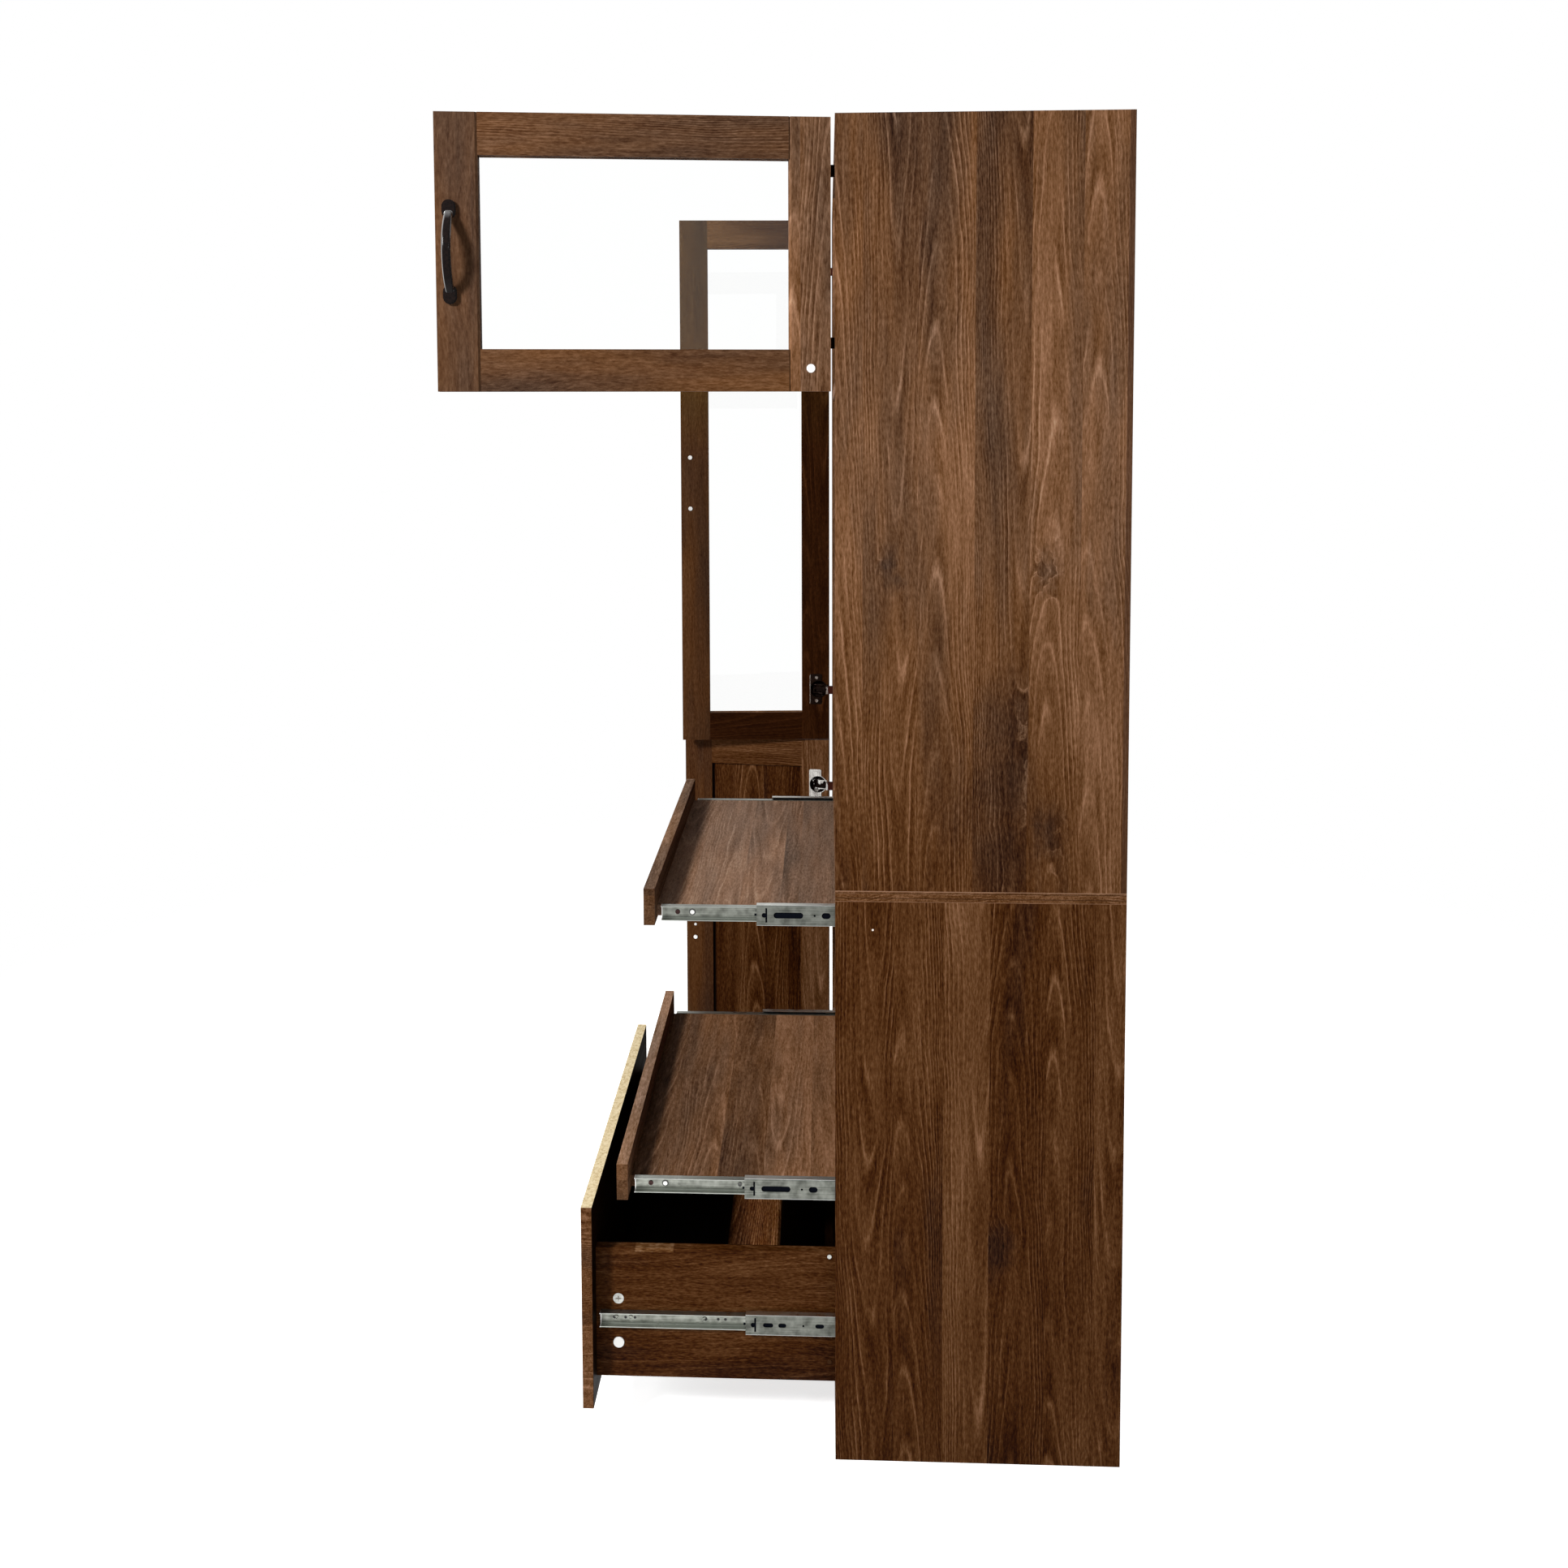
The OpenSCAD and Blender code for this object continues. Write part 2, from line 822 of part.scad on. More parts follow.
module rails(w, h, t) {
    rail(w, t);
    translate([0, 0, h])
        mirror([0, 0, 1])
            rail(w, t);
}

// The pane or panel of thickness t
module core(w, h, t) {
    low = frame_w - core_bite;
    board([low, w - low], [-board_t / 2 - t / 2, -board_t / 2 + t / 2], [low, h - low]);
}

// A bow handle on two oblong feet, standing on a door's outer face
module handle(w, h) {
    difference() {
        translate([w - handle_edge, -board_t, h / 2]) {
            for (up = [-1, 1])
                translate([0, 0, up * handle_spacing / 2])
                    mirror([0, 0, up > 0 ? 0 : 1])
                        rotate([90, 0, 0]) {
                            linear_extrude(foot_t)
                                oblong(foot_r, foot_tail);
                            linear_extrude(foot_t + foot_step)
                                oblong(foot_r - foot_step_inset, foot_tail);
                        }
            translate([0, bow_r - bow_sag - bow_root, 0])
                rotate([90, 0, -90])
                    rotate([0, 0, -bow_half_angle])
                        rotate_extrude(angle = 2 * bow_half_angle, $fn = 180)
                            translate([bow_r, -(bow_w - bow_t) / 2])
                                oblong(bow_t / 2, bow_w - bow_t);
        }
        // Nothing of the bow's ends reaches into the door
        board([w - 3 * handle_edge, w + handle_edge], [-board_t, handle_rise], [0, h]);
        for (up = screw_heights(h))
            translate([w - handle_edge, -board_t + eps, up])
                rotate([90, 0, 0])
                    cylinder(r = screw_r + fit, h = screw_reach + fit + eps, $fn = coarse);
    }
}

module handle_screws(w, h) {
    for (up = screw_heights(h))
        translate([w - handle_edge, 0, up])
            pan_screw(screw_head_r, screw_head_h, screw_r, board_t + screw_reach);
}

module hinge_cups(h, hinge_end) {
    for (up = [hinge_end, h - hinge_end])
        translate([cup_edge, 0, up])
            hinge_cup();
}

module hang_right() {
    hang(1, right_z, right_door_open)
        children();
}

module hang_upper_left() {
    hang(-1, upper_left_z, upper_left_open)
        children();
}

module hang_lower_left() {
    hang(-1, lower_left_z, lower_left_open)
        children();
}

module right_door_hinge_stile() {
    color(walnut)
        hang_right()
            hinge_stile(right_h, glass_t, hinge_end_wide);
}

module right_door_handle_stile() {
    color(walnut)
        hang_right()
            handle_stile(right_w, right_h, glass_t);
}

module right_door_rails() {
    color(walnut)
        hang_right()
            rails(right_w, right_h, glass_t);
}

module right_door_glass() {
    color(pane)
        hang_right()
            core(right_w, right_h, glass_t);
}

module right_door_handle() {
    color(black_gloss)
        hang_right()
            handle(right_w, right_h);
}

module right_door_screws() {
    color(zinc)
        hang_right()
            handle_screws(right_w, right_h);
}

module right_door_hinge_cups() {
    color(nickel)
        hang_right()
            hinge_cups(right_h, hinge_end_wide);
}

// The round cap on the outer face of the hinge stile
module right_door_cap() {
    color(white_plastic)
        hang_right()
            translate([cap_edge, -board_t, cap_up])
                rotate([90, 0, 0]) {
                    cylinder(r = cap_r, h = cap_t * 0.6, $fn = fine);
                    cylinder(r = cap_r * 0.8, h = cap_t, $fn = fine);
                }
}

module upper_left_door_hinge_stile() {
    color(walnut)
        hang_upper_left()
            hinge_stile(upper_left_h, glass_t, hinge_end_tall);
}

module upper_left_door_handle_stile() {
    color(walnut)
        hang_upper_left()
            handle_stile(left_w, upper_left_h, glass_t);
}

module upper_left_door_rails() {
    color(walnut)
        hang_upper_left()
            rails(left_w, upper_left_h, glass_t);
}

module upper_left_door_glass() {
    color(pane)
        hang_upper_left()
            core(left_w, upper_left_h, glass_t);
}

module upper_left_door_handle() {
    color(black_gloss)
        hang_upper_left()
            handle(left_w, upper_left_h);
}

module upper_left_door_screws() {
    color(zinc)
        hang_upper_left()
            handle_screws(left_w, upper_left_h);
}

module upper_left_door_hinge_cups() {
    color(nickel)
        hang_upper_left()
            hinge_cups(upper_left_h, hinge_end_tall);
}

module lower_left_door_hinge_stile() {
    color(walnut)
        hang_lower_left()
            hinge_stile(lower_left_h, panel_t, hinge_end_low);
}

module lower_left_door_handle_stile() {
    color(walnut)
        hang_lower_left()
            handle_stile(left_w, lower_left_h, panel_t);
}

module lower_left_door_rails() {
    color(walnut)
        hang_lower_left()
            rails(left_w, lower_left_h, panel_t);
}

module lower_left_door_panel() {
    color(walnut_dark)
        hang_lower_left()
            core(left_w, lower_left_h, panel_t);
}

module lower_left_door_handle() {
    color(black_gloss)
        hang_lower_left()
            handle(left_w, lower_left_h);
}

// The two handle screws and the small screw of the catch above the lower one
module lower_left_door_screws() {
    color(zinc)
        hang_lower_left() {
            handle_screws(left_w, lower_left_h);
            translate([left_w - handle_edge, 0, screw_heights(lower_left_h)[0] + catch_up])
                rotate([-90, 0, 0])
                    cylinder(r = catch_r, h = 1, $fn = coarse);
        }
}

module lower_left_door_hinge_cups() {
    color(nickel)
        hang_lower_left()
            hinge_cups(lower_left_h, hinge_end_low);
}

// Ball-bearing slides, drawn with x from the panel's face inwards, y from the cabinet's front
// and z from the slide's middle

// A channel profile: web between two distances, flanges of the given height reaching to another distance
module channel(web, reach, h) {
    low = min(web[0], reach);
    high = max(web[1], reach);
    translate([web[0], -h / 2])
        square([web[1] - web[0], h]);
    for (up = [-1, 1])
        translate([low, up > 0 ? h / 2 - steel_t : -h / 2])
            square([high - low, steel_t]);
}

module outer_member() {
    difference() {
        along_y(slide_front, slide_l) {
            channel([0, steel_t], outer_flange, outer_h);
            // Turned-in edges that keep the balls in
            for (up = [-1, 1])
                translate([outer_flange - outer_lip,
                           up > 0 ? outer_h / 2 - steel_t - outer_lip : steel_t - outer_h / 2])
                    square([outer_lip, outer_lip]);
        }
        for (slot = outer_slots)
            web_slot(slide_front + slot[0], slot[1], outer_slot_h, [0, steel_t]);
    }
}

// An oblong hole along Y through a web between two distances, round where it is no longer than it is high
module web_slot(y, length, h, web) {
    r = min(h, length) / 2;
    translate([web[0] - eps, y + r, 0])
        rotate([90, 0, 90])
            linear_extrude(web[1] - web[0] + 2 * eps)
                if (length > h)
                    rotate(-90)
                        oblong(r, length - h);
                else
                    circle(r = r, $fn = coarse);
}

// A middle member with its mounting cut-outs of the given height
module mid_member(slots, h) {
    web = [mid_web, mid_web + steel_t];
    difference() {
        along_y(mid_front, mid_l)
            channel(web, mid_flange, mid_h);
        for (slot = slots)
            web_slot(mid_front + slot[0], slot[1], h, web);
        // The keyhole at the front end
        web_slot(mid_front + key_y, key_d, key_d, web);
        board([web[0] - eps, web[1] + eps], [mid_front + key_bar_y, mid_front + key_bar_y + key_bar_w],
              [-key_bar_h / 2, key_bar_h / 2]);
    }
    outer_rows();
    retainer();
}

// A row of balls in a thin strip, filling a gap of the given height but for a clearance
module ball_row(x, y, z, gap, length) {
    ball_d = gap - 2 * ball_gap;
    step = length / row_balls;
    translate([x - ball_d / 2 - row_edge, y, z - row_t / 2])
        cube([ball_d + 2 * row_edge, length, row_t]);
    for (i = [0:row_balls - 1])
        translate([x, y + (i + 0.5) * step, z])
            sphere(d = ball_d, $fn = coarse);
}

// The ball rows between the outer and the middle member, at the middle member's rear end
module outer_rows() {
    high = outer_h / 2 - steel_t;
    low = mid_h / 2;
    y = mid_front + mid_l - outer_row_inset - outer_row_l;
    for (up = [-1, 1])
        ball_row(outer_row_x, y, up * (high + low) / 2, high - low, outer_row_l);
}

// The retainer between the middle and the inner member: a strip behind the web, with a ball row
// along each edge
module retainer() {
    gap = mid_h / 2 - steel_t - inner_h / 2;
    row_z = (mid_h / 2 - steel_t + inner_h / 2) / 2;
    ball_x = inner_flange + retainer_flange_l;
    y = [mid_front + retainer_inset, mid_front + retainer_inset + retainer_l];
    board([retainer_x, retainer_x + row_t], y, [-row_z - row_t / 2, row_z + row_t / 2]);
    for (up = [-1, 1]) {
        board([retainer_x, ball_x], y, [up * row_z - row_t / 2, up * row_z + row_t / 2]);
        ball_row(ball_x, y[0], up * row_z, gap, retainer_l);
    }
    // The tongue in front of the middle member
    board([retainer_x, retainer_x + row_t], [mid_front - retainer_tongue_l, y[0] + eps],
          [-retainer_tongue_h / 2, retainer_tongue_h / 2]);
}

module inner_member() {
    web = [slide_t - steel_t, slide_t];
    along_y(inner_front, inner_l)
        channel(web, inner_flange, inner_h);
    for (y = slide_screws)
        translate([web[0] + fit, inner_front + y, 0])
            rotate([0, 0, 90])
                pan_screw(slide_screw_r, slide_screw_t, 1, fit);
}

// A pair of slide members: one on the right side panel and one on the divider
module slide_pair(z, out) {
    translate([inner_x, -out, z])
        mirror([1, 0, 0])
            children();
    translate([divider_right, -out, z])
        children();
}

module upper_tray_outer_slides() {
    color(zinc)
        slide_pair(upper_tray_z, 0)
            outer_member();
}

module lower_tray_outer_slides() {
    color(zinc)
        slide_pair(lower_tray_z, 0)
            outer_member();
}

module drawer_outer_slides() {
    color(zinc)
        slide_pair(drawer_z, 0)
            outer_member();
}

module upper_tray_mid_slides() {
    color(zinc)
        slide_pair(upper_tray_z, tray_mid_ratio * upper_tray_out)
            mid_member(tray_slots, tray_slot_h);
}

module lower_tray_mid_slides() {
    color(zinc)
        slide_pair(lower_tray_z, tray_mid_ratio * lower_tray_out)
            mid_member(tray_slots, tray_slot_h);
}

module drawer_mid_slides() {
    color(zinc)
        slide_pair(drawer_z, drawer_mid_ratio * drawer_out)
            mid_member(drawer_slots, drawer_slot_h);
}

module upper_tray_inner_slides() {
    color(zinc)
        slide_pair(upper_tray_z, upper_tray_out)
            inner_member();
}

module lower_tray_inner_slides() {
    color(zinc)
        slide_pair(lower_tray_z, lower_tray_out)
            inner_member();
}

module drawer_inner_slides() {
    color(zinc)
        slide_pair(drawer_z, drawer_out)
            inner_member();
}

// Trays

module tray_board(z, out) {
    board([tray_x0, tray_x1], [-front_gap - out, tray_d - front_gap - out],
          [z + tray_rise - board_t, z + tray_rise]);
}

module tray_lip(z, out) {
    board([front_x, door_edge], [-front_gap - board_t - out, -front_gap - out],
          [z - lip_drop, z - lip_drop + lip_h]);
}

module upper_tray_board() {
    color(walnut)
        tray_board(upper_tray_z, upper_tray_out);
}

module upper_tray_lip() {
    color(walnut)
        tray_lip(upper_tray_z, upper_tray_out);
}

module lower_tray_board() {
    color(walnut)
        tray_board(lower_tray_z, lower_tray_out);
}

module lower_tray_lip() {
    color(walnut)
        tray_lip(lower_tray_z, lower_tray_out);
}

// Drawer, drawn closed and then pulled out

module pull_out() {
    translate([0, -drawer_out, 0])
        children();
}

// The groove that the drawer's bottom panel sits in, or (grow = 0) the panel itself
module bottom_in_groove(grow) {
    side_bite = drawer_groove - (grow > 0 ? 0 : bottom_play);
    board([tray_x0 + drawer_side_t - side_bite, tray_x1 - drawer_side_t + side_bite],
          [-front_gap - side_bite, tray_d - front_gap + (grow > 0 ? eps : 0)],
          [drawer_bottom_z - grow, drawer_bottom_z + drawer_bottom_t + grow]);
}

// Shapes on both drawer sides: drawn on a plane x = 0 that looks into -X, at the place of the right
// side's face
module on_both_sides() {
    translate([tray_x1, 0, 0])
        children();
    translate([tray_x0, 0, 0])
        mirror([1, 0, 0])
            children();
}

module drawer_cam_pockets() {
    on_both_sides()
        for (z = drawer_cam_z)
            translate([eps, drawer_cam_inset - front_gap, z])
                rotate([0, -90, 0])
                    cylinder(d = cam_d + 2 * fit, h = drawer_cam_h + fit + eps, $fn = fine);
}

module drawer_front() {
    color(walnut)
        pull_out()
            difference() {
                board([front_x, door_edge], [-front_gap - board_t, -front_gap],
                      [drawer_front_z, drawer_front_z + drawer_front_h]);
                bottom_in_groove(core_fit);
            }
}

module drawer_sides() {
    color(walnut)
        pull_out()
            difference() {
                for (x = [[tray_x0, tray_x0 + drawer_side_t], [tray_x1 - drawer_side_t, tray_x1]])
                    board(x, [-front_gap, tray_d - front_gap], [drawer_low, drawer_high]);
                bottom_in_groove(core_fit);
                drawer_cam_pockets();
            }
}

// The back board stands on the bottom panel, between the sides
module drawer_back() {
    color(walnut)
        pull_out()
            board([tray_x0 + drawer_side_t, tray_x1 - drawer_side_t],
                  [drawer_back_y, drawer_back_y + drawer_side_t],
                  [drawer_bottom_z + drawer_bottom_t, drawer_high]);
}

module drawer_bottom() {
    color(walnut_dark)
        pull_out()
            bottom_in_groove(0);
}

// Cam locks at the front, a cap over each lower one, and the screws that hold the back board
module drawer_fittings() {
    color(zinc)
        pull_out()
            on_both_sides() {
                for (z = drawer_cam_z)
                    translate([0, drawer_cam_inset - front_gap, z])
                        rotate([0, -90, 0])
                            cam(cam_d, drawer_cam_h, true);
                translate([0, drawer_cam_inset - front_gap, drawer_cam_z[0]])
                    rotate([0, 90, 0])
                        cylinder(d = cam_d - fit, h = cap_t, $fn = fine);
                for (z = [drawer_high - drawer_screw_inset, drawer_bottom_z + 3 * drawer_screw_inset])
                    translate([0, drawer_back_y + drawer_side_t / 2, z])
                        rotate([0, 90, 0])
                            cylinder(r = drawer_screw_r, h = drawer_screw_t, $fn = coarse);
            }
}

side_lower_right();
side_lower_left();
side_upper_right();
side_upper_left();
counter_board();
top_board();
bottom_board();
plinth();
divider_lower();
divider_upper();
cupboard_floor();
back_lower();
back_upper();
adjustable_shelves();
shelf_pins();
dowels();
cam_locks();
right_hinge_arms();
upper_left_hinge_arms();
lower_left_hinge_arms();
upper_tray_outer_slides();
lower_tray_outer_slides();
drawer_outer_slides();
right_door_hinge_stile();
right_door_handle_stile();
right_door_rails();
right_door_glass();
right_door_handle();
right_door_screws();
right_door_hinge_cups();
right_door_cap();
upper_left_door_hinge_stile();
upper_left_door_handle_stile();
upper_left_door_rails();
upper_left_door_glass();
upper_left_door_handle();
upper_left_door_screws();
upper_left_door_hinge_cups();
lower_left_door_hinge_stile();
lower_left_door_handle_stile();
lower_left_door_rails();
lower_left_door_panel();
lower_left_door_handle();
lower_left_door_screws();
lower_left_door_hinge_cups();
upper_tray_board();
upper_tray_lip();
upper_tray_inner_slides();
upper_tray_mid_slides();
lower_tray_board();
lower_tray_lip();
lower_tray_inner_slides();
lower_tray_mid_slides();
drawer_front();
drawer_sides();
drawer_back();
drawer_bottom();
drawer_fittings();
drawer_inner_slides();
drawer_mid_slides();
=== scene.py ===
"""Looks of the kitchen hutch: walnut laminate, slides, hinges, glass, floor, lights and camera.

All sizes are metres in the part's frame: X to the right seen from the front, Y to the back, Z up.
"""

import json
import math

import bpy
from mathutils import Matrix, Vector


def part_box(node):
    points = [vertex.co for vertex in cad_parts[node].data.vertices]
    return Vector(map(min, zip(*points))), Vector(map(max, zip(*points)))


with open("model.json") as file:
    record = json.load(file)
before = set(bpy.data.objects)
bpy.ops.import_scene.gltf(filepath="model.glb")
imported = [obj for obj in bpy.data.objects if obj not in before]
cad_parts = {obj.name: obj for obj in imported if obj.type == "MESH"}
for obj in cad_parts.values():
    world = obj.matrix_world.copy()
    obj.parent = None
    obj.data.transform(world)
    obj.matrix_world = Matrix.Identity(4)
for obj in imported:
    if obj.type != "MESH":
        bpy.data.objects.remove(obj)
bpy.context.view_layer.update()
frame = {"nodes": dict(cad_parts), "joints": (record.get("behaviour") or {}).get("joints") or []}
nodes = frame["nodes"]
joints = {joint["child"]: joint for joint in frame["joints"]}
scene = bpy.context.scene

X = Vector((1, 0, 0))
Y = Vector((0, 1, 0))
Z = Vector((0, 0, 1))

# A door's pivot, measured from its hinge edge and from its inner face
PIVOT_EDGE = 0.0043
PIVOT_FACE = 0.00825

# A hinge cup's flange: its height, and its screws' places from the door's edge and the cup's centre
FLANGE_H = 0.060
FLANGE_SCREW_X = 0.0255
FLANGE_SCREW_Z = 0.023

# Width of a door's stiles and rails
FRAME_W = 0.054

# The drawer's fittings: the front ones stand before a line, and the lower ones of each end have caps
FITTINGS_FRONT = -0.25
FRONT_CAP_TOP = 0.150
REAR_CAP_TOP = 0.200


def upper_lock_centre():
    """Centre of the drawer's upper cam lock, seen from the side, as (y, z)."""
    places = [vertex.co for vertex in nodes["drawer_fittings"].data.vertices]
    lock = [p for p in places if p.y < FITTINGS_FRONT and p.z > FRONT_CAP_TOP]
    return [(min(p[i] for p in lock) + max(p[i] for p in lock)) / 2 for i in (1, 2)]


LOCK_AT = upper_lock_centre()

# Wood colours against the grain's shade, from dark heartwood to light sapwood
WALNUT = (
    (0.000, (0.0060, 0.0010, 0.0000)),
    (0.125, (0.0232, 0.0050, 0.0006)),
    (0.250, (0.0513, 0.0160, 0.0030)),
    (0.375, (0.0931, 0.0369, 0.0116)),
    (0.500, (0.1470, 0.0666, 0.0284)),
    (0.625, (0.2195, 0.1070, 0.0545)),
    (0.750, (0.3005, 0.1589, 0.0887)),
    (1.000, (0.4600, 0.3000, 0.1900)),
)

# One growth ring: dark latewood, a slow rise and a light line before the next
RING = (
    (0.00, 0.34), (0.12, 0.30), (0.45, 0.48), (0.70, 0.57), (0.79, 0.98), (0.86, 0.76), (1.00, 0.34),
)

WHITE = (1.0, 1.0, 1.0, 1.0)

# How far the mask of a board's end reaches into the board
END_REACH = 0.0004


# Shader building blocks


class Tree:
    """A node tree with one short call for each kind of node that the materials use."""

    def __init__(self, tree):
        self.tree = tree

    def add(self, kind, inputs=None, **settings):
        node = self.tree.nodes.new(kind)
        for key, value in settings.items():
            setattr(node, key, value)
        self.fill(node, inputs or {})
        return node

    def fill(self, node, inputs):
        """Links or sets a node's inputs by name or number."""
        for key, value in inputs.items():
            self.feed(node.inputs[key], value)

    def feed(self, socket, value):
        if isinstance(value, bpy.types.NodeSocket):
            self.tree.links.new(value, socket)
        else:
            socket.default_value = value

    def math(self, operation, a, b=0.0, c=0.0, clamp=False):
        node = self.add("ShaderNodeMath", {0: a, 1: b, 2: c}, operation=operation, use_clamp=clamp)
        return node.outputs[0]

    def times_plus(self, a, b, c, clamp=False):
        return self.math("MULTIPLY_ADD", a, b, c, clamp)

    def minus(self, a, b):
        return self.math("SUBTRACT", a, b)

    def product(self, first, *others):
        for other in others:
            first = self.math("MULTIPLY", first, other)
        return first

    def apart(self, a, b):
        """How far two values lie apart."""
        return self.math("ABSOLUTE", self.minus(a, b))

    def here(self):
        """The surface point, in the part's frame."""
        return self.add("ShaderNodeTexCoord").outputs["Object"]

    def vector(self, operation, a, b=(0, 0, 0)):
        node = self.add("ShaderNodeVectorMath", {0: a, 1: b}, operation=operation)
        return node.outputs["Value" if operation == "DOT_PRODUCT" else "Vector"]

    def length(self, vector):
        return self.add("ShaderNodeVectorMath", {0: vector}, operation="LENGTH").outputs["Value"]

    def from_point(self, a, b, point):
        """How far a place (a, b) lies from a point."""
        return self.length(self.combine(self.minus(a, point[0]), self.minus(b, point[1]), 0.0))

    def combine(self, x, y, z):
        return self.add("ShaderNodeCombineXYZ", {0: x, 1: y, 2: z}).outputs[0]

    def separate(self, vector):
        return self.add("ShaderNodeSeparateXYZ", {0: vector}).outputs

    def noise(self, where, detail=2.0, roughness=0.5, scale=1.0):
        inputs = {"Vector": where, "Scale": scale, "Detail": detail, "Roughness": roughness}
        return self.add("ShaderNodeTexNoise", inputs).outputs["Fac"]

    def rescale(self, value, low, high, to_low=0.0, to_high=1.0, smooth=False):
        kind = "SMOOTHSTEP" if smooth else "LINEAR"
        inputs = {"Value": value, 1: low, 2: high, 3: to_low, 4: to_high}
        return self.add("ShaderNodeMapRange", inputs, interpolation_type=kind).outputs[0]

    def above(self, value, level, soft, most=1.0):
        """0 below a level, and the most from a soft border above it on."""
        return self.rescale(value, level, level + soft, 0.0, most)

    def below(self, value, level, soft, most=1.0):
        """0 above a level, and the most from a soft border below it on."""
        return self.rescale(value, level, level - soft, 0.0, most)

    def between(self, value, low, high, soft):
        """1 between two levels, with a soft border inside each, and 0 elsewhere."""
        return self.product(self.above(value, low, soft), self.below(value, high, soft))

    def on_end(self, value, end):
        """1 on the face that ends a board at a measure, and 0 before it."""
        return self.above(value, end - END_REACH, END_REACH / 2)

    def ramp(self, factor, stops, interpolation="LINEAR"):
        node = self.add("ShaderNodeValToRGB", {0: factor})
        node.color_ramp.interpolation = interpolation
        elements = node.color_ramp.elements
        while len(elements) < len(stops):
            elements.new(1.0)
        for element, (place, colour) in zip(elements, stops):
            element.position = place
            element.color = (*colour, 1.0)
        return node.outputs[0]

    def mix(self, factor, a, b, blend="MIX"):
        node = self.add("ShaderNodeMix", data_type="RGBA", blend_type=blend)
        self.feed(node.inputs[0], factor)
        self.feed(node.inputs[6], a if isinstance(a, bpy.types.NodeSocket) else (*a, 1.0))
        self.feed(node.inputs[7], b if isinstance(b, bpy.types.NodeSocket) else (*b, 1.0))
        return node.outputs[2]

    def tint(self, colour, factors):
        """A colour with its red, green and blue multiplied."""
        return self.mix(1.0, colour, factors, "MULTIPLY")

    def bump(self, height, strength, distance):
        inputs = {"Height": height, "Strength": strength, "Distance": distance}
        return self.add("ShaderNodeBump", inputs).outputs[0]

    def mix_shaders(self, share, first, second):
        """The first shader, with a share of the second in its place."""
        inputs = {0: share, 1: first.outputs[0], 2: second.outputs[0]}
        return self.add("ShaderNodeMixShader", inputs)


def new_material(name):
    """An empty material and its tree, with the shader and the output joined."""
    material = bpy.data.materials.new(name)
    material.use_nodes = True
    material.node_tree.nodes.clear()
    tree = Tree(material.node_tree)
    shader = tree.add("ShaderNodeBsdfPrincipled")
    output = tree.add("ShaderNodeOutputMaterial")
    tree.feed(output.inputs["Surface"], shader.outputs[0])
    return material, tree, shader


def surface(tree, shader):
    """Joins another shader to the output."""
    output = next(node for node in tree.tree.nodes if node.type == "OUTPUT_MATERIAL")
    tree.feed(output.inputs["Surface"], shader.outputs[0])


def give(name, material):
    """Puts a material on every slot of a CAD node."""
    mesh = nodes[name].data
    if not mesh.materials:
        mesh.materials.append(material)
    for index in range(len(mesh.materials)):
        mesh.materials[index] = material


# Walnut


class Board:
    """A board's own measure: along its grain, across it and through its thickness, from an origin."""

    def __init__(self, along, across, origin=(0, 0, 0)):
        self.along = along
        self.across = across
        self.depth = along.cross(across)
        self.origin = Vector(origin)

    def extent(self, name):
        """Lowest and highest corner of a node in this measure."""
        axes = Matrix((self.along, self.across, self.depth))
        places = [axes @ (vertex.co - self.origin) for vertex in nodes[name].data.vertices]
        return Vector(map(min, *places)), Vector(map(max, *places))


# Layers of noise in the grain: cells per metre along it and across it, steps of detail, roughness
SLOW_WANDER = (3.0, 9.0, 1.0, 0.5)
QUICK_WANDER = (12.0, 32.0, 2.0, 0.5)
RING_DRIFT = (1.3, 9.0, 1.0, 0.5)
FIGURE_PATCHES = (4.0, 40.0, 2.0, 0.5)
STREAKS = (9.0, 130.0, 4.0, 0.62)
FIBRES = (120.0, 430.0, 2.0, 0.6)
PORES = (60.0, 800.0, 0.0, 0.5)
CLOUDS = (2.4, 15.0, 3.0, 0.55)

# How far a phase of 1 moves a plank in the noise
PHASE_ALONG = 7.3
PHASE_ACROSS = 3.1

# How far the grain wanders sideways
SLOW_REACH = 0.030
QUICK_REACH = 0.007

# How far a phase of 1 moves the axis of the growth rings across the plank
AXIS_REACH = 0.055
# Rings per square metre of the distance from the axis, and the fewest per metre along the plank
ARCH_RINGS = 3000.0
PACE_RINGS = 5.0
# The arches of planks below this phase point the other way
TURN_PHASE = 0.45
# Rings that the drift and a knot add
DRIFT_RINGS = 5.0
KNOT_RINGS = 1.8

# What each layer of the grain adds to the shade
RING_SHARE = 0.42
STREAK_SHARE = 0.38
FIBRE_SHARE = 0.52
CLOUD_SHARE = 0.46
PORE_SHARE = -0.10
KNOT_SHARE = -0.12

# The hue of greyed wood, and how much clouds and knots grey it
GREY_HUE = (1.22, 0.97, 0.80)
CLOUD_GREY = 1.3
KNOT_GREY = 0.3


